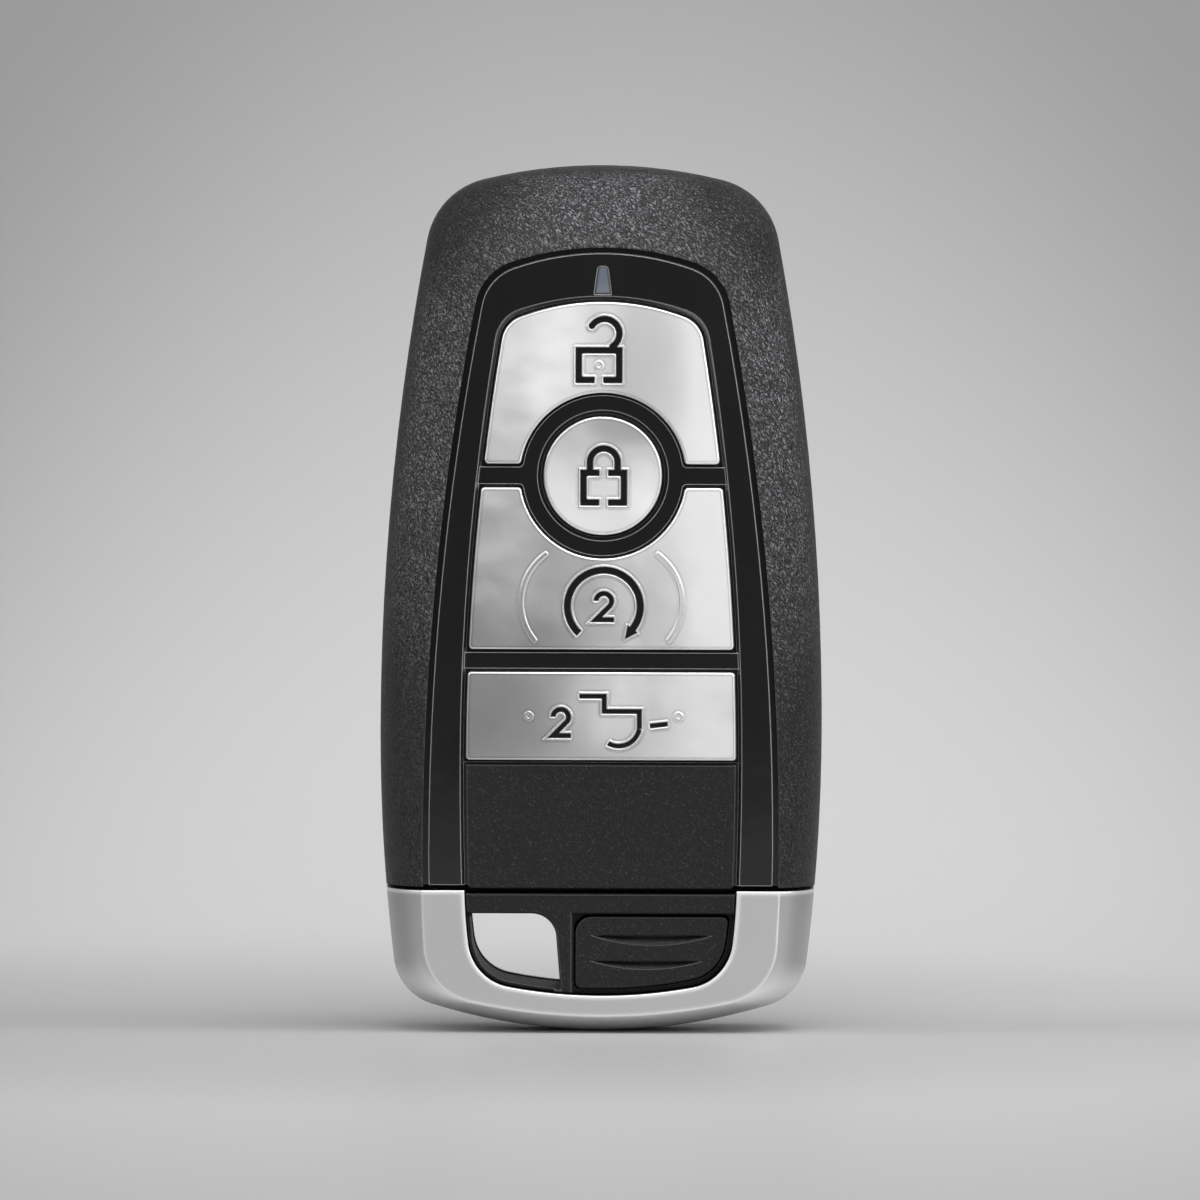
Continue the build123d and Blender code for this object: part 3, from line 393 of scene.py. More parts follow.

# %% [markdown]
# ## Painted reflections
# Each plated cap reflects the studio as soft lighter and darker patches, and these patches are
# painted into its colour. A noise would put them anywhere. This group makes one patch at a
# chosen place, and a table of patches gives each cap its own.

# %% Painted reflection group
def make_painted_reflection_patch():
    """A factor that is one far away and reaches a share in the patch's middle."""
    group, given, out = new_group(
        "painted_reflection_patch",
        {"Middle across": 0.0, "Middle height": 0.05, "Reach across": 0.005, "Reach up": 0.01,
         "Share": 0.8},
        ("Factor",),
    )
    x, y, z = object_axes(group)
    square = oval(
        group, (x, z),
        (given.outputs["Middle across"], given.outputs["Middle height"]),
        (given.outputs["Reach across"], given.outputs["Reach up"]),
    )
    away = smooth_range(group, square, (0, 1), (0, 1))
    change = maths(group, "SUBTRACT", 1.0, given.outputs["Share"])
    swing = maths(group, "MULTIPLY", change, away)
    factor = maths(group, "ADD", given.outputs["Share"], swing)
    group.links.new(factor, out.inputs["Factor"])
    return group


def add_painted_reflections(tree, tone, clouds, most):
    """Scales a tone by a table of (across, height, reach across, reach up, share), in mm."""
    factor = None
    for across, height, reach_across, reach_up, share in clouds:
        cloud = use_group(tree, painted_reflection_patch, **{
            "Middle across": across * mm, "Middle height": height * mm,
            "Reach across": reach_across * mm, "Reach up": reach_up * mm, "Share": share,
        })
        one = cloud.outputs["Factor"]
        factor = one if factor is None else maths(tree, "MULTIPLY", factor, one)
    scaled = tree.nodes.new("ShaderNodeVectorMath")
    scaled.operation = "SCALE"
    tree.links.new(tone, scaled.inputs[0])
    tree.links.new(factor, scaled.inputs["Scale"])
    capped = tree.nodes.new("ShaderNodeVectorMath")
    capped.operation = "MINIMUM"
    tree.links.new(scaled.outputs[0], capped.inputs[0])
    capped.inputs[1].default_value = (most, most, most)
    return capped.outputs[0]


painted_reflection_patch = make_painted_reflection_patch()
print("group:", painted_reflection_patch.name, "with", len(painted_reflection_patch.nodes), "nodes")

# %% [markdown]
# ## Painted shade in the corners
# Towards its four corners the shell curves away from the light and looks darker, so its ridges
# are dimmed there: painted shade. A hand-painted mask would need a map of the surface. The
# product of the way sideways and the way up or down is large in the corners alone, so a sum
# does it.

# %% Corner shade group
def make_painted_corner_shade():
    """A mask of painted shade that grows towards the four corners."""
    group, given, out = new_group(
        "painted_corner_shade",
        {"Half width": 0.0122, "Middle height": 0.062, "Reach up": 0.0128, "Reach down": 0.046,
         "Amount": 0.45},
        ("Shade",),
    )
    x, y, z = object_axes(group)
    across = maths(group, "DIVIDE", x, given.outputs["Half width"])
    rise = maths(group, "SUBTRACT", z, given.outputs["Middle height"])
    up = maths(group, "DIVIDE", rise, given.outputs["Reach up"])
    downwards = maths(group, "MULTIPLY", given.outputs["Reach down"], -1.0)
    down = maths(group, "DIVIDE", rise, downwards)
    both = maths(group, "MULTIPLY", across, maths(group, "MAXIMUM", up, down))
    square = maths(group, "MULTIPLY", both, both, clamp=True)
    corner_shade = maths(group, "MULTIPLY", square, given.outputs["Amount"])
    group.links.new(corner_shade, out.inputs["Shade"])
    return group


painted_corner_shade = make_painted_corner_shade()
print("group:", painted_corner_shade.name, "with", len(painted_corner_shade.nodes), "nodes")

# %% [markdown]
# ## Matt black plastics
# Two moulded blacks share nearly the same colour: the grained shell and the fine panels. Their
# grain makes them look different. A bump alone leaves the ridges as dark as the valleys, so the
# ridges get a lighter tone, a painted highlight, with less of it as painted shade where the wall
# turns aside and in the corners, and edges that face up or aside a painted highlight line.

# %% Matt blacks
slope_start, slope_end = 0.30, 0.75


def black_plastic(name, tones, roughness, specular, grain, edges, painted_shade, sparkle, **grain_values):
    """Moulded black: painted highlight on ridges and edges, painted shade aside and in corners."""
    dark, light, edge_highlight_tone = tones
    grain_scale, grain_depth = grain
    edge_radius, edge_gain = edges
    corner_shade, side_shade, dimming = painted_shade
    material, tree, shader = new_material(
        name, dark, roughness, sockets={"Specular IOR Level": specular})
    add_handling(tree, shader, roughness, 0.05)
    edge = round_edges(tree, edge_radius)
    grain = use_group(tree, moulded_grain, Scale=grain_scale, **grain_values)
    # The ridges' lighter tone is a painted highlight on the grain.
    lift = maths(tree, "POWER", grain.outputs["Ridge"], sparkle)
    # Painted shade: the ridges' highlight is dimmed towards the corners and where walls turn aside.
    corner_darkening = use_group(tree, painted_corner_shade, Amount=corner_shade)
    slope = turn_of(tree, edge, facing=towards_viewer)
    aside = smooth_range(tree, slope, (slope_start, slope_end), (0, side_shade))
    dim = maths(tree, "MAXIMUM", corner_darkening.outputs["Shade"], aside)
    ridge_tone = mix_colours(tree, dim, light, tuple(value * dimming for value in light))
    tone = mix_colours(tree, lift, dark, ridge_tone)
    # A painted highlight along the edges that face up or aside.
    line = maths(tree, "MULTIPLY", edge_mask(tree, edge, edge_gain), lit_from_above(tree, edge))
    tone = mix_colours(tree, line, tone, edge_highlight_tone)
    tree.links.new(tone, shader.inputs["Base Color"])
    bump(tree, shader, grain.outputs["Height"], grain_depth, normal=edge)
    return material


grained_black = black_plastic(
    "grained_shell_black",
    tones=((0.004, 0.004, 0.005), (0.21, 0.21, 0.22), (0.09, 0.09, 0.09)),
    roughness=0.42, specular=0.30, grain=(5000.0, 0.12 * mm), edges=(0.12 * mm, 4.0),
    painted_shade=(1.0, 0.9, 0.25), sparkle=1.30, Wander=0.6, Sharpness=4.4, Stretch=0.42,
)
fine_black = black_plastic(
    "fine_panel_black",
    tones=((0.009, 0.009, 0.010), (0.060, 0.060, 0.066), (0.19, 0.19, 0.19)),
    roughness=0.48, specular=0.25, grain=(4600.0, 0.04 * mm), edges=(0.16 * mm, 6.0),
    painted_shade=(0.0, 0.0, 1.0), sparkle=2.6, Wander=0.3, Sharpness=2.9, Stretch=0.7,
)
print("made:", grained_black.name, "and", fine_black.name)

# %% [markdown]
# ## Gloss black
# The bezel and the cores of the buttons come out of polished moulds. A smooth black with a low
# roughness is nearly enough, but a perfect mirror gives it away. The slow cloud bends its
# reflections a little, and a painted highlight, a bright line in the colour, follows its edges.

# %% Gloss black
def make_gloss():
    """Polished black with a painted highlight along its edges and slightly bent reflections."""
    black, edge_highlight_tone = (0.0075, 0.0075, 0.008), (0.60, 0.60, 0.60)
    gloss, tree, shader = new_material("piano_black", black, 0.08)
    add_handling(tree, shader, 0.10, 0.04)
    edge = round_edges(tree, 0.12 * mm)
    # A painted highlight along the edges.
    tone = mix_colours(tree, edge_mask(tree, edge, 12.0), black, edge_highlight_tone)
    tree.links.new(tone, shader.inputs["Base Color"])
    marks = use_group(tree, handling_marks, Scale=160.0, Base=0.5, Amount=0.3)
    bump(tree, shader, marks.outputs["Cloud"], 0.02 * mm, normal=edge)
    return gloss


gloss_black = make_gloss()
print("made:", gloss_black.name)

# %% [markdown]
# ## Satin lacquer
# The end band is sprayed with metallic lacquer. A plain metal would show the room's reflections,
# so the colour paints the light instead: painted shade on the slopes and in a dark outline,
# painted light where it faces down, and painted highlights along its edges and crease. A fine
# grain stands for flakes.

# %% Satin lacquer
def make_lacquer():
    """Sprayed silver with painted shade, painted light below and painted edge highlights."""
    ahead_tone, slope_shade_tone = (0.57, 0.57, 0.572), (0.50, 0.50, 0.502)
    underside_light_tone, painted_outline_shade, edge_highlight_colour = (0.95, 0.95, 0.95), (0.20, 0.20, 0.20), (1.0, 1.0, 1.0)
    band, tree, shader = new_material("satin_silver_lacquer", ahead_tone, 0.36, metallic=0.85)
    add_handling(tree, shader, 0.34, 0.04)
    chamfer = round_edges(tree, 1.00 * mm, samples=10)
    crease = round_edges(tree, 0.22 * mm)
    chamfer_line = edge_mask(tree, chamfer, 25.0, start=0.030)
    lines = maths(tree, "MAXIMUM", chamfer_line, edge_mask(tree, crease, 24.0))
    axes = tree.nodes.new("ShaderNodeSeparateXYZ")
    tree.links.new(crease, axes.inputs[0])
    aside = maths(tree, "ABSOLUTE", axes.outputs["X"])
    below = maths(tree, "MULTIPLY", axes.outputs["Z"], -1.0)
    turned = turn_of(tree, crease, facing=towards_viewer)
    # Painted shade on the slopes and outline, painted light facing down, painted highlights.
    steps = (
        (smooth_range(tree, aside, (0.10, 0.75), (0, 1)), slope_shade_tone),
        (smooth_range(tree, below, (0.10, 0.60), (0, 1)), underside_light_tone),
        (smooth_range(tree, turned, (0.82, 1.0), (0, 1)), painted_outline_shade),
        (lines, edge_highlight_colour),
    )
    tone = ahead_tone
    for mask, colour in steps:
        tone = mix_colours(tree, mask, tone, colour)
    tree.links.new(tone, shader.inputs["Base Color"])
    flakes = use_group(tree, moulded_grain, Scale=7000.0, Wander=0.0, Sharpness=2.0)
    bump(tree, shader, flakes.outputs["Height"], 0.006 * mm, normal=crease)
    return band


band_silver = make_lacquer()
print("made:", band_silver.name)

# %% [markdown]
# ## Satin plating
# The caps of the buttons are satin chrome over plastic. Their rims get a painted highlight with a
# painted dark line of shade inside it, and the faces patches of painted reflection. Thin plated
# plastic is never quite flat, so a slow wave in the normal makes the soft cloudy reflections. The
# lock button is dished for the thumb, which is why its pillow has the other sign.

# %% Satin plating
face_tone, shade_line_tone, rim_highlight_tone = 0.645, 0.32, 0.97
# A painted highlight on the rim and a painted dark line of shade inside it.
rim_stops = (
    (0.0, face_tone), (0.001, face_tone), (0.004, shade_line_tone), (0.020, shade_line_tone),
    (0.038, rim_highlight_tone), (1.0, rim_highlight_tone),
)
# Painted reflections: patches on the three flat caps, then on the dished lock cap.
cap_painted_reflections = (
    (4.3, 61.0, 4.5, 11.0, 0.76), (-4.0, 60.0, 4.0, 11.0, 1.20), (5.6, 39.0, 3.2, 8.0, 0.84),
    (-9.5, 42.5, 4.5, 5.5, 1.24), (-4.5, 36.0, 4.0, 3.5, 0.82), (-10.0, 28.5, 7.0, 6.5, 0.82),
    (0.0, 31.0, 5.0, 6.0, 1.30), (10.0, 27.0, 4.5, 5.0, 1.10),
)
lock_painted_reflections = ((2.2, 56.4, 4.4, 2.4, 0.76), (3.8, 50.5, 2.8, 3.6, 1.18))


def make_plating(name, swell, middle, reach, clouds):
    """Satin chrome with a painted rim highlight, shade line and reflections, and a slow wave."""
    plated, tree, shader = new_material(name, (0.64, 0.64, 0.65), 0.28, metallic=1.0)
    add_handling(tree, shader, 0.29, 0.03, scale=120.0)
    wide = round_edges(tree, 0.42 * mm, samples=12)
    rim = turn_of(tree, wide, facing=towards_viewer)
    tone = add_painted_reflections(tree, tone_ramp(tree, rim, rim_stops), clouds, rim_highlight_tone)
    tree.links.new(tone, shader.inputs["Base Color"])
    edge = round_edges(tree, 0.12 * mm)
    swollen = add_pillow(tree, shader, swell, middle, reach, edge)
    wave = use_group(tree, handling_marks, Scale=70.0, Base=0.5, Amount=0.5)
    slow = bump(tree, shader, wave.outputs["Cloud"], 0.30 * mm, normal=swollen)
    fine = use_group(tree, moulded_grain, Scale=6500.0, Wander=0.2, Sharpness=2.5)
    bump(tree, shader, fine.outputs["Height"], 0.004 * mm, normal=slow)
    return plated


plated_silver = make_plating(
    "satin_plating", 1.0 * mm, (0, 28 * mm), (12.5 * mm, 22.9 * mm), cap_painted_reflections)
dished_silver = make_plating(
    "dished_plating", -0.33 * mm, (20 * mm, 51.76 * mm), (12.5 * mm, 5.5 * mm), lock_painted_reflections)
print("made:", plated_silver.name, "and", dished_silver.name)

# %% [markdown]
# ## Smoky lens
# The indicator's light guide is tinted to look dark when it is off. Real glass nodes would show
# the black parts behind it and little else. A plain surface with a painted dark outline, the
# shade of its groove, and a paler foot looks the same and needs no light to travel through it.

# %% Smoky lens
def make_lens():
    """A smoky light guide with a painted dark outline of shade, a little paler towards its foot."""
    foot_tone, head_tone, painted_outline_shade = (0.19, 0.21, 0.25), (0.12, 0.14, 0.18), (0.02, 0.02, 0.025)
    foot, head = 67.5 * mm, 70.5 * mm
    lens, tree, shader = new_material("smoky_lens", (0.15, 0.17, 0.21), 0.32)
    add_handling(tree, shader, 0.32, 0.05, scale=200.0)
    edge = round_edges(tree, 0.45 * mm, samples=12)
    x, y, z = object_axes(tree)
    up = smooth_range(tree, z, (foot, head), (0, 1))
    tone = mix_colours(tree, up, foot_tone, head_tone)
    # A painted dark outline: the shade of the groove round the lens.
    tone = mix_colours(tree, edge_mask(tree, edge, 11.0), tone, painted_outline_shade)
    tree.links.new(tone, shader.inputs["Base Color"])
    grain = use_group(tree, moulded_grain, Scale=3000.0, Wander=0.5, Sharpness=3.0)
    bump(tree, shader, grain.outputs["Height"], 0.004 * mm, normal=edge)
    return lens


lens_smoke = make_lens()
print("made:", lens_smoke.name)

# %% [markdown]
# ## Plain inner finishes
# Everything under the cover shows when the fob is taken apart: rubber, moulded chips, steel,
# ferrite, bronze and nylon. Each is one even stuff, so one function makes them all, with
# handling marks and a light grain. The blade's grain is stretched to brushed lines.

# %% Plain finishes
def plain_finish(name, colour, roughness, metallic=0.0, grain_scale=3000.0, depth=0.01 * mm,
                 **grain_values):
    """A finish with handling marks and a light grain, for the parts inside."""
    material, tree, shader = new_material(name, colour, roughness, metallic)
    add_handling(tree, shader, roughness, 0.08, scale=200.0)
    values = {"Wander": 0.5, "Sharpness": 3.0, **grain_values}
    grain = use_group(tree, moulded_grain, Scale=grain_scale, **values)
    bump(tree, shader, grain.outputs["Height"], depth, normal=round_edges(tree, 0.06 * mm))
    return material


silicone = plain_finish("keypad_silicone", (0.05, 0.05, 0.055), 0.62)
chip_epoxy = plain_finish("chip_epoxy", (0.016, 0.016, 0.017), 0.55, depth=0.02 * mm)
plain_steel = plain_finish("plain_steel", (0.62, 0.62, 0.61), 0.3, metallic=1.0)
ferrite = plain_finish("ferrite", (0.03, 0.03, 0.033), 0.6, depth=0.02 * mm)
contact_bronze = plain_finish("plated_bronze", (0.82, 0.66, 0.34), 0.28, metallic=1.0)
led_epoxy = plain_finish("led_epoxy", (0.85, 0.85, 0.78), 0.2)
nylon = plain_finish("natural_nylon", (0.68, 0.68, 0.64), 0.5)
brushed_steel = plain_finish(
    "brushed_steel", (0.60, 0.60, 0.59), 0.34, metallic=1.0, grain_scale=5200.0,
    depth=0.03 * mm, Stretch=0.03, Lean=0.0,
)
print("materials so far:", len(bpy.data.materials))

# %% [markdown]
# ## Wire turns
# The antenna is a ferrite bar wound with enamelled copper, turn beside turn. Hundreds of real
# turns would be a heavy mesh for a part that is mostly hidden. A row of round ridges with dark
# gaps, painted shade between the turns, shows the same, and the row is a group of its own.

# %% Wire turns
gap_depth = 0.35


def ripple(tree, value, pitch):
    """A row of round ridges, one for each pitch."""
    angle = maths(tree, "MULTIPLY", maths(tree, "DIVIDE", value, pitch), math.pi)
    return maths(tree, "ABSOLUTE", maths(tree, "SINE", angle))


def make_winding():
    """Copper turns across the fob, with painted shade in the gaps between them."""
    copper, gap_shade_tone = (0.78, 0.32, 0.16), (0.16, 0.05, 0.03)
    group, given, out = new_group("wire_turns", {"Pitch": 0.0002}, ("Height", "Gap"))
    x, y, z = object_axes(group)
    height = ripple(group, x, given.outputs["Pitch"])
    group.links.new(height, out.inputs["Height"])
    group.links.new(maths(group, "LESS_THAN", height, gap_depth), out.inputs["Gap"])
    wire, tree, shader = new_material("enamelled_copper", copper, 0.3, metallic=1.0)
    add_handling(tree, shader, 0.32, 0.08, scale=200.0)
    turns = use_group(tree, group, Pitch=0.24 * mm)
    # Painted shade in the gaps between the turns.
    tone = mix_colours(tree, turns.outputs["Gap"], copper, gap_shade_tone)
    tree.links.new(tone, shader.inputs["Base Color"])
    bump(tree, shader, turns.outputs["Height"], 0.10 * mm, normal=round_edges(tree, 0.12 * mm))
    return wire


copper_wire = make_winding()
print("made:", copper_wire.name)

# %% [markdown]
# ## Turned circles
# A coin cell's can and cap carry the fine circles that turning and pressing leave. They are
# rings about the middle of the cell, so the height depends on the distance from there alone.

# %% Turned steel
cell_middle = (-5.2 * mm, 33.0 * mm)


def make_turned(name, colour, middle, pitch, depth):
    """Steel with fine circles about a middle."""
    group, given, out = new_group(
        name + "_circles", {"Middle across": 0.0, "Middle height": 0.0, "Pitch": 0.0003},
        ("Height",),
    )
    x, y, z = object_axes(group)
    aside = maths(group, "SUBTRACT", x, given.outputs["Middle across"])
    rise = maths(group, "SUBTRACT", z, given.outputs["Middle height"])
    square_aside = maths(group, "MULTIPLY", aside, aside)
    square_rise = maths(group, "MULTIPLY", rise, rise)
    away = maths(group, "SQRT", maths(group, "ADD", square_aside, square_rise))
    group.links.new(ripple(group, away, given.outputs["Pitch"]), out.inputs["Height"])
    steel, tree, shader = new_material(name, colour, 0.3, metallic=1.0)
    add_handling(tree, shader, 0.30, 0.10, scale=160.0)
    values = {"Middle across": middle[0], "Middle height": middle[1], "Pitch": pitch}
    circles = use_group(tree, group, **values)
    bump(tree, shader, circles.outputs["Height"], depth, normal=round_edges(tree, 0.12 * mm))
    return steel


cell_steel = make_turned("cell_steel", (0.66, 0.66, 0.65), cell_middle, 0.35 * mm, 0.008 * mm)
print("made:", cell_steel.name)

# %% [markdown]
# ## Board tracks
# The circuit board is glass fibre under a green mask, through which the copper tracks show a
# little paler, with tinned dots. No real layout is copied. Cells of a Voronoi texture choose
# where the tracks run up, where they run across and where there are none.

# %% Circuit board
track_level = 0.86
run_up_above, run_across_below = 0.55, 0.35
dot_radius = 0.10


def make_board():
    """Green mask with runs of tracks and tinned dots."""
    mask_green, track_green, tinned = (0.012, 0.085, 0.04), (0.03, 0.16, 0.07), (0.72, 0.66, 0.50)
    group, given, out = new_group(
        "board_tracks", {"Pitch": 0.0009, "Patch": 260.0}, ("Track", "Pad"))
    place = group.nodes.new("ShaderNodeTexCoord")
    cells = group.nodes.new("ShaderNodeTexVoronoi")
    cells.distance = "MANHATTAN"
    group.links.new(place.outputs["Object"], cells.inputs["Vector"])
    group.links.new(given.outputs["Patch"], cells.inputs["Scale"])
    split = group.nodes.new("ShaderNodeSeparateXYZ")
    group.links.new(cells.outputs["Color"], split.inputs[0])
    pick = split.outputs["X"]
    x, y, z = object_axes(group)
    upright = maths(group, "GREATER_THAN", ripple(group, x, given.outputs["Pitch"]), track_level)
    level = maths(group, "GREATER_THAN", ripple(group, z, given.outputs["Pitch"]), track_level)
    goes_up = maths(group, "GREATER_THAN", pick, run_up_above)
    goes_across = maths(group, "LESS_THAN", pick, run_across_below)
    run_up = maths(group, "MULTIPLY", upright, goes_up)
    run_across = maths(group, "MULTIPLY", level, goes_across)
    group.links.new(maths(group, "MAXIMUM", run_up, run_across), out.inputs["Track"])
    dot = maths(group, "LESS_THAN", cells.outputs["Distance"], dot_radius)
    group.links.new(dot, out.inputs["Pad"])
    board, tree, shader = new_material("solder_mask", mask_green, 0.3)
    add_handling(tree, shader, 0.30, 0.06, scale=200.0)
    tracks = use_group(tree, group, Pitch=0.9 * mm, Patch=260.0)
    tone = mix_colours(tree, tracks.outputs["Track"], mask_green, track_green)
    tone = mix_colours(tree, tracks.outputs["Pad"], tone, tinned)
    tree.links.new(tone, shader.inputs["Base Color"])
    bump(tree, shader, tracks.outputs["Track"], 0.02 * mm, normal=round_edges(tree, 0.06 * mm))
    return board


board_green = make_board()
print("made:", board_green.name)

# %% [markdown]
# ## Tinned ends
# Small ceramic capacitors are tan blocks whose two ends are dipped in tin. All of them are one
# node, set in a row up the board, so the place along the row tells which end a point is on.

# %% Ceramic blocks
def make_ceramic(first, pitch, half_body):
    """Tan blocks in a row up the board, each tinned at its two ends."""
    tan, tinned = (0.42, 0.30, 0.18), (0.70, 0.70, 0.70)
    group, given, out = new_group(
        "tinned_ends", {"First": 0.0, "Pitch": 0.003, "Half body": 0.0006}, ("End",))
    x, y, z = object_axes(group)
    along = maths(group, "SUBTRACT", z, given.outputs["First"])
    row = maths(group, "DIVIDE", along, given.outputs["Pitch"])
    part = maths(group, "SUBTRACT", maths(group, "FRACT", maths(group, "ADD", row, 0.5)), 0.5)
    off = maths(group, "MULTIPLY", maths(group, "ABSOLUTE", part), given.outputs["Pitch"])
    end = maths(group, "GREATER_THAN", off, given.outputs["Half body"])
    group.links.new(end, out.inputs["End"])
    block, tree, shader = new_material("ceramic_tan", tan, 0.45)
    add_handling(tree, shader, 0.42, 0.06, scale=300.0)
    ends = use_group(tree, group, **{"First": first, "Pitch": pitch, "Half body": half_body})
    tone = mix_colours(tree, ends.outputs["End"], tan, tinned)
    tree.links.new(tone, shader.inputs["Base Color"])
    tree.links.new(ends.outputs["End"], shader.inputs["Metallic"])
    bump(tree, shader, ends.outputs["End"], 0.02 * mm, normal=round_edges(tree, 0.08 * mm))
    return block


ceramic_tan = make_ceramic(56.0 * mm, 3.2 * mm, 0.60 * mm)
print("made:", ceramic_tan.name, "- materials in all:", len(bpy.data.materials))

# %% [markdown]
# ## Dressing the nodes
# A node from the engineering model keeps its shape and its exact normals. All it needs is its
# finish, which goes into the first material slot of every face. A table of finishes and the
# nodes that wear them is easier to check against the real fob than forty lines of calls.

# %% Dress helper
def dress(finishes):
    """Gives each node of a table its material."""
    for material, names in finishes:
        for name in names:
            thing = nodes[name]
            thing.data.materials.clear()
            thing.data.materials.append(material)
            for face in thing.data.polygons:
                face.material_index = 0
    return sum(len(names) for material, names in finishes)


print("dress helper ready")

# %% Dress the outside
buttons = ("unlock", "lock", "start", "tailgate")
outside = (
    (grained_black, ("front_shell", "rear_cover", "release_button_left", "release_button_right")),
    (band_silver, ("end_band",)),
    (gloss_black, ("gloss_bezel", *(button + "_core" for button in buttons))),
    (fine_black, ("blank_panel", "chassis", "key_head")),
    (lens_smoke, ("indicator_lens",)),
    (plated_silver, ("unlock_cap", "start_cap", "tailgate_cap")),
    (dished_silver, ("lock_cap",)),
)
print("dressed outside:", dress(outside), "nodes")

# %% Dress the inside
inside = (
    (nylon, ("cell_gasket", *(button + "_plunger" for button in buttons))),
    (fine_black, ("battery_door",)),
    (cell_steel, ("cell_can", "cell_cap")),
    (board_green, ("circuit_board",)),
    (plain_steel, ("switch_bodies", "crystal")),
    (chip_epoxy, ("controller_chip", "radio_chip")),
    (ceramic_tan, ("capacitors",)),
    (led_epoxy, ("indicator_led",)),
    (ferrite, ("antenna_core",)),
    (copper_wire, ("antenna_winding",)),
    (contact_bronze, ("negative_contact", "positive_contact")),
    (brushed_steel, ("key_blade",)),
)
print("dressed inside:", dress(inside), "nodes")

# %% [markdown]
# ## Soft pieces that give
# A rubber dome flattens under its button, and a leaf spring under its release button. A node of
# the engineering model can't change its shape, so copies stand in for these solids. A copy is
# welded where the node's faces only touch, so that it can be cut and stays closed.

# %% Copies of nodes
crisp_angle = math.radians(30)
weld_distance = 0.001 * mm


def closed_copy(node, name):
    """A joined-up copy of a node's mesh, with crisp edges where its faces turn sharply."""
    build = bmesh.new()
    build.from_mesh(nodes[node].data)
    bmesh.ops.remove_doubles(build, verts=build.verts, dist=weld_distance)
    for edge in build.edges:
        edge.smooth = edge.is_manifold and edge.calc_face_angle(0) < crisp_angle
    for face in build.faces:
        face.smooth = True
    mesh = bpy.data.meshes.new(name)
    build.to_mesh(mesh)
    build.free()
    piece = bpy.data.objects.new(name, mesh)
    bpy.context.scene.collection.objects.link(piece)
    return piece


def stand_in(piece, node, material, body="casing"):
    """Puts a finished copy in its node's place."""
    piece.data.materials.clear()
    piece.data.materials.append(material)
    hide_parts(node)
    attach(piece, body)


print("copy helpers ready")

# %% [markdown]
# ## Cutting a copy
# Picking faces by hand would leave open rims where the sheet, the domes and the stems part. A
# Boolean with a closed box or rod cuts and closes in one step, and its result is taken as a
# plain mesh, so the piece carries no modifier.

# %% Cutting shapes
stem_cut_radius = 0.72 * mm
stem_front = -4.149 * mm
stem_behind = -3.0 * mm
rod_sides = 48


def box_between(low, high):
    """A box as a cutting shape."""
    build = bmesh.new()
    bmesh.ops.create_cube(build, size=1.0)
    for corner in build.verts:
        corner.co = [a if side < 0 else b for side, a, b in zip(corner.co, low, high)]
    return build


def rods_at(places):
    """Round rods through the stems as a cutting shape."""
    build = bmesh.new()
    depth = stem_behind - stem_front
    lay_down = Matrix.Rotation(math.pi / 2, 4, "X")
    for x, z in places:
        place = Matrix.Translation((x, stem_front + depth / 2, z)) @ lay_down
        bmesh.ops.create_cone(
            build, cap_ends=True, segments=rod_sides, radius1=stem_cut_radius,
            radius2=stem_cut_radius, depth=depth, matrix=place,
        )
    return build


def cut_with(piece, build, operation):
    """Cuts a piece with a closed shape, and closes the cut."""
    mesh = bpy.data.meshes.new("cutter")
    build.to_mesh(mesh)
    build.free()
    cutter = bpy.data.objects.new("cutter", mesh)
    bpy.context.scene.collection.objects.link(cutter)
    cut = piece.modifiers.new("cut", "BOOLEAN")
    cut.operation = operation
    cut.solver = "EXACT"
    cut.object = cutter
    now = bpy.context.evaluated_depsgraph_get()
    trimmed = bpy.data.meshes.new_from_object(piece.evaluated_get(now))
    piece.modifiers.clear()
    piece.data = trimmed
    bpy.data.objects.remove(cutter)


print("stem rods:", round((stem_behind - stem_front) / mm, 3), "mm long")

# %% [markdown]
# ## Keypad
# The keypad is one rubber moulding: a sheet with four domes, each with a stem that presses its
# switch. One deforming mesh would need a weight for every point. Pieces that meet in hidden
# cuts are simpler: the sheet stays, each dome is a piece with a mesh of its own, and its stem
# keeps its length and travels with the button.

# %% Keypad sheet
cut_level = -3.905 * mm
keypad_low, keypad_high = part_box("keypad_mat")
stem_places = []
for button in buttons:
    low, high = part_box(button + "_plunger")
    stem_places.append(((low[0] + high[0]) / 2, (low[2] + high[2]) / 2))
sheet = closed_copy("keypad_mat", "keypad_sheet")
sheet_low = (keypad_low[0] - mm, cut_level, keypad_low[2] - mm)
cut_with(sheet, box_between(sheet_low, [v + mm for v in keypad_high]), "INTERSECT")
cut_with(sheet, rods_at(stem_places), "DIFFERENCE")
stand_in(sheet, "keypad_mat", silicone)
print("sheet: vertices", len(sheet.data.vertices))

# %% Domes and stems
reach = 2.3 * mm
for button, (x, z) in zip(buttons, stem_places):
    dome = closed_copy("keypad_mat", button + "_dome")
    low = (x - reach, keypad_low[1] - mm, z - reach)
    cut_with(dome, box_between(low, (x + reach, cut_level, z + reach)), "INTERSECT")
    cut_with(dome, rods_at([(x, z)]), "DIFFERENCE")
    stand_in(dome, "keypad_mat", silicone)
    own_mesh(dome)
    stem = closed_copy("keypad_mat", button + "_stem")
    cut_with(stem, rods_at([(x, z)]), "INTERSECT")
    stand_in(stem, "keypad_mat", silicone, button + "_button")
    print(button, "dome and stem: vertices", len(dome.data.vertices), len(stem.data.vertices))

# %% [markdown]
# ## Leaf springs
# A bent strip of steel pushes each release button out, and leans on the chassis on its inner
# side. Bending the copy point by point would hardly show, as the stroke is small. A copy with a
# mesh of its own stands in for each spring.

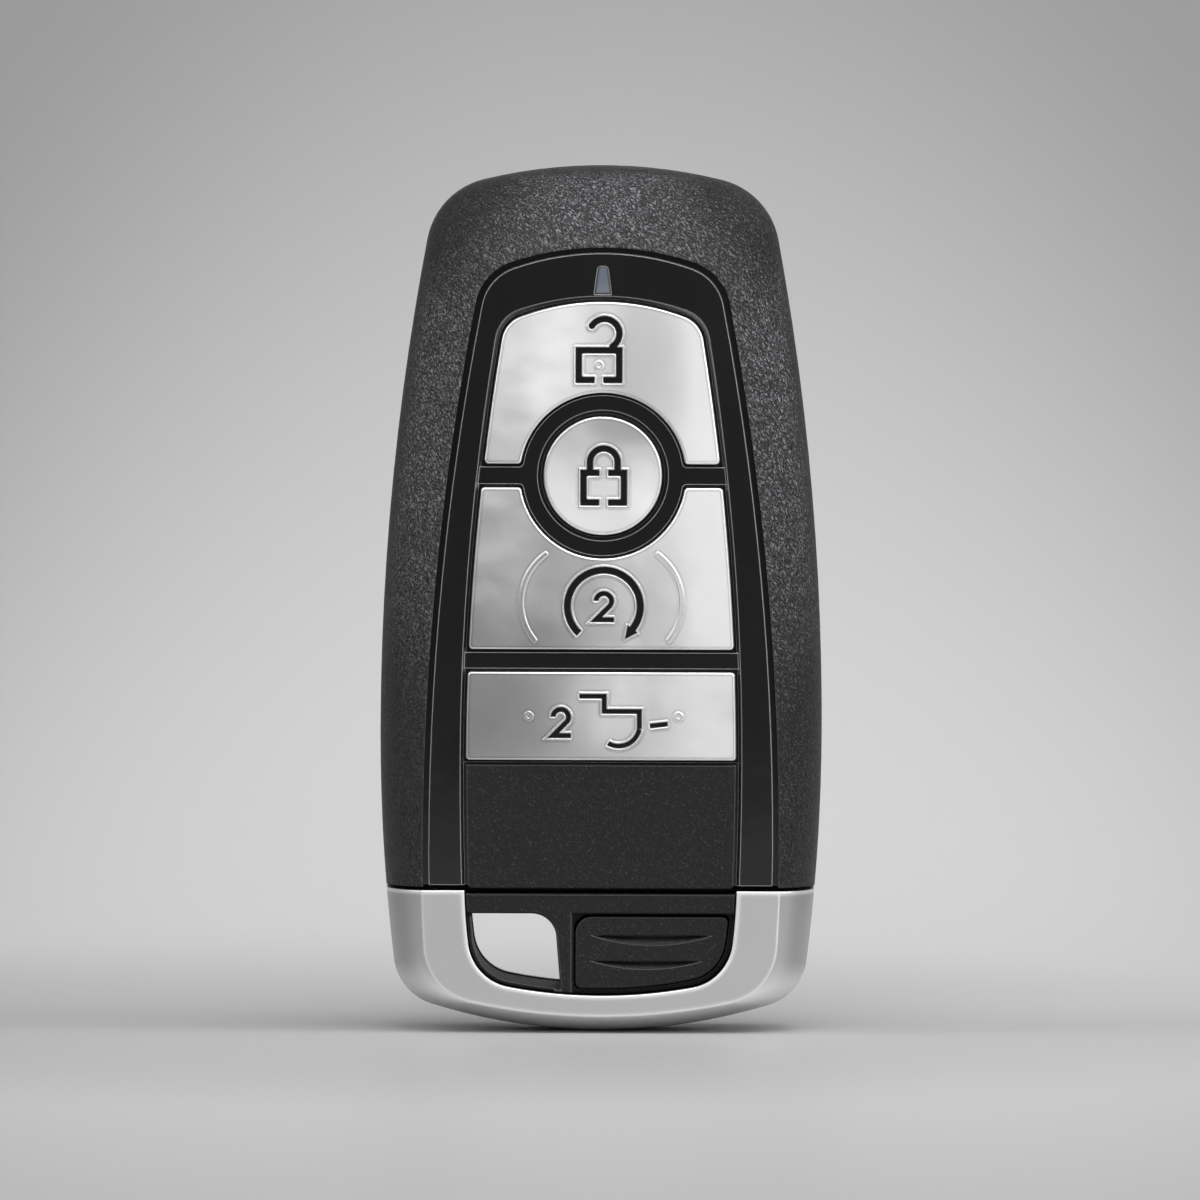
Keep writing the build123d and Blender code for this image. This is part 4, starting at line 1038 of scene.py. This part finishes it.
# %% Leaf springs
for side, inner in (("left", 1), ("right", 0)):
    node = "release_spring_" + side
    spring = closed_copy(node, side + "_leaf")
    stand_in(spring, node, plain_steel)
    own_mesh(spring)

# %% [markdown]
# ## Paper sweep
# The fob stands on a sheet of paper that curves up behind it, as on a studio table. A floor and
# a wall would meet in a line that the photograph doesn't have. The sheet is a strip of faces
# along a line that bends through a quarter circle.

# %% Paper sweep
def make_sweep():
    """A strip from the floor up through a quarter circle."""
    front, bend_start, bend_radius = -0.40, 0.10, 0.50
    height, half_width, steps = 2.0, 2.0, 40
    line = [(front, 0.0), (bend_start, 0.0)]
    for step in range(1, steps + 1):
        angle = math.pi / 2 * step / steps
        behind = bend_start + bend_radius * math.sin(angle)
        line.append((behind, bend_radius * (1 - math.cos(angle))))
    line.append((bend_start + bend_radius, height))
    build = bmesh.new()
    rows = [[build.verts.new((x, y, z)) for x in (-half_width, half_width)] for y, z in line]
    for low, high in zip(rows, rows[1:]):
        build.faces.new((low[0], low[1], high[1], high[0]))
    mesh = bpy.data.meshes.new("paper_sweep")
    build.to_mesh(mesh)
    build.free()
    for face in mesh.polygons:
        face.use_smooth = True
    sweep = bpy.data.objects.new("paper_sweep", mesh)
    bpy.context.scene.collection.objects.link(sweep)
    return sweep


sweep = make_sweep()
print("paper: faces", len(sweep.data.polygons))

# %% [markdown]
# ## Paper tone
# In the photograph the paper is brightest close behind the fob and falls off upwards and to the
# sides. Lamps could do that, but they would change the fob as well, so the paper's own colour
# does it: painted light that falls off, also darker towards the front, and a painted shadow
# about the fob's foot. Seen from behind the paper is clear, or it would hide the fob from a
# camera there.

# %% Paper tone
tone_near, tone_far = 0.64, 0.305
fade_width, fade_height = 0.115, 0.130
floor_share, floor_reach = 0.60, (-0.35, 0.25)
painted_shadow_share, painted_shadow_place, painted_shadow_reach = 0.80, (-0.020, 0.010), (0.110, 0.135)


def make_paper():
    """Painted light falling off and a painted shadow about the foot; clear from behind."""
    paper, tree, shader = new_material("studio_paper", (0.5, 0.5, 0.5), 0.45)
    x, y, z = object_axes(tree)
    across = maths(tree, "DIVIDE", x, fade_width)
    height = maths(tree, "DIVIDE", z, fade_height)
    fall = maths(tree, "ADD", maths(tree, "MULTIPLY", across, across), height)
    upright = smooth_range(tree, fall, (0, 1), (tone_near, tone_far))
    floor = smooth_range(tree, y, floor_reach, (floor_share, 1.0))
    # A painted shadow about the fob's foot.
    about_painted_shadow = oval(tree, (x, y), painted_shadow_place, painted_shadow_reach)
    foot = smooth_range(tree, about_painted_shadow, (0, 1), (painted_shadow_share, 1.0))
    level = maths(tree, "MULTIPLY", maths(tree, "MULTIPLY", upright, floor), foot)
    tree.links.new(level, shader.inputs["Base Color"])
    side = tree.nodes.new("ShaderNodeNewGeometry")
    clear = tree.nodes.new("ShaderNodeBsdfTransparent")
    choice = tree.nodes.new("ShaderNodeMixShader")
    tree.links.new(side.outputs["Backfacing"], choice.inputs["Fac"])
    tree.links.new(shader.outputs[0], choice.inputs[1])
    tree.links.new(clear.outputs[0], choice.inputs[2])
    tree.links.new(choice.outputs[0], tree.nodes["Material Output"].inputs["Surface"])
    return paper


sweep.data.materials.append(make_paper())
print("made:", sweep.data.materials[0].name)

# %% [markdown]
# ## Lights
# Silver shows what it reflects, so the lamps are large soft boxes and not points. One hangs
# above and a little to the right. Two broad panels stand in front for the faces to reflect, and
# a strip on each side draws the rounded walls of the shell.

# %% Lights
def soft_box(name, place, size, power, target=(0, 0, 45 * mm)):
    """A rectangular area light that aims at the fob."""
    data = bpy.data.lights.new(name, "AREA")
    data.shape = "RECTANGLE"
    data.size, data.size_y = size
    data.energy = power
    lamp = bpy.data.objects.new(name, data)
    lamp.location = place
    aim = Vector(target) - Vector(place)
    lamp.rotation_euler = aim.to_track_quat("-Z", "Y").to_euler()
    bpy.context.scene.collection.objects.link(lamp)


lamps = (
    ("top_box", (0.12, -0.22, 0.60), (0.6, 0.5), 3.2),
    ("right_panel", (0.45, -0.88, 0.14), (0.85, 0.62), 1.7),
    ("upper_left_panel", (-0.26, -0.88, 0.43), (0.52, 0.5), 1.0),
    ("left_strip", (-0.50, -0.10, 0.42), (0.25, 0.5), 1.0),
    ("right_strip", (0.55, -0.10, 0.40), (0.25, 0.5), 1.6),
)
for name, place, size, power in lamps:
    soft_box(name, place, size, power)
print("lamps:", len(lamps), "with", round(sum(lamp[3] for lamp in lamps), 1), "W in all")

# %% [markdown]
# ## The room
# The world stands for the rest of the room and fills the shadows. An even white would leave the
# buttons without a gradient. One dark patch low in front to the left, like an unlit corner, is
# what the lower buttons reflect on their left side.

# %% World
room_level, patch_level = 0.42, 0.03
patch_direction = Vector((-0.30, -0.90, -0.10)).normalized()
patch_edge, patch_core = 0.90, 0.975


def make_world():
    """A soft even room with one dark patch."""
    world = bpy.data.worlds.new("studio_world")
    world.use_nodes = True
    tree = world.node_tree
    place = tree.nodes.new("ShaderNodeTexCoord")
    toward = tree.nodes.new("ShaderNodeVectorMath")
    toward.operation = "DOT_PRODUCT"
    toward.inputs[1].default_value = patch_direction
    tree.links.new(place.outputs["Generated"], toward.inputs[0])
    level = smooth_range(
        tree, toward.outputs["Value"], (patch_edge, patch_core), (room_level, patch_level))
    background = tree.nodes["Background"]
    background.inputs["Color"].default_value = (1, 1, 1, 1)
    tree.links.new(level, background.inputs["Strength"])
    return world


bpy.context.scene.world = make_world()
bpy.context.scene.view_settings.view_transform = "Standard"
print("world:", bpy.context.scene.world.name)

# %% [markdown]
# ## Finish
# At the end the view layer is brought up to date.

# %% Finish
bpy.context.view_layer.update()
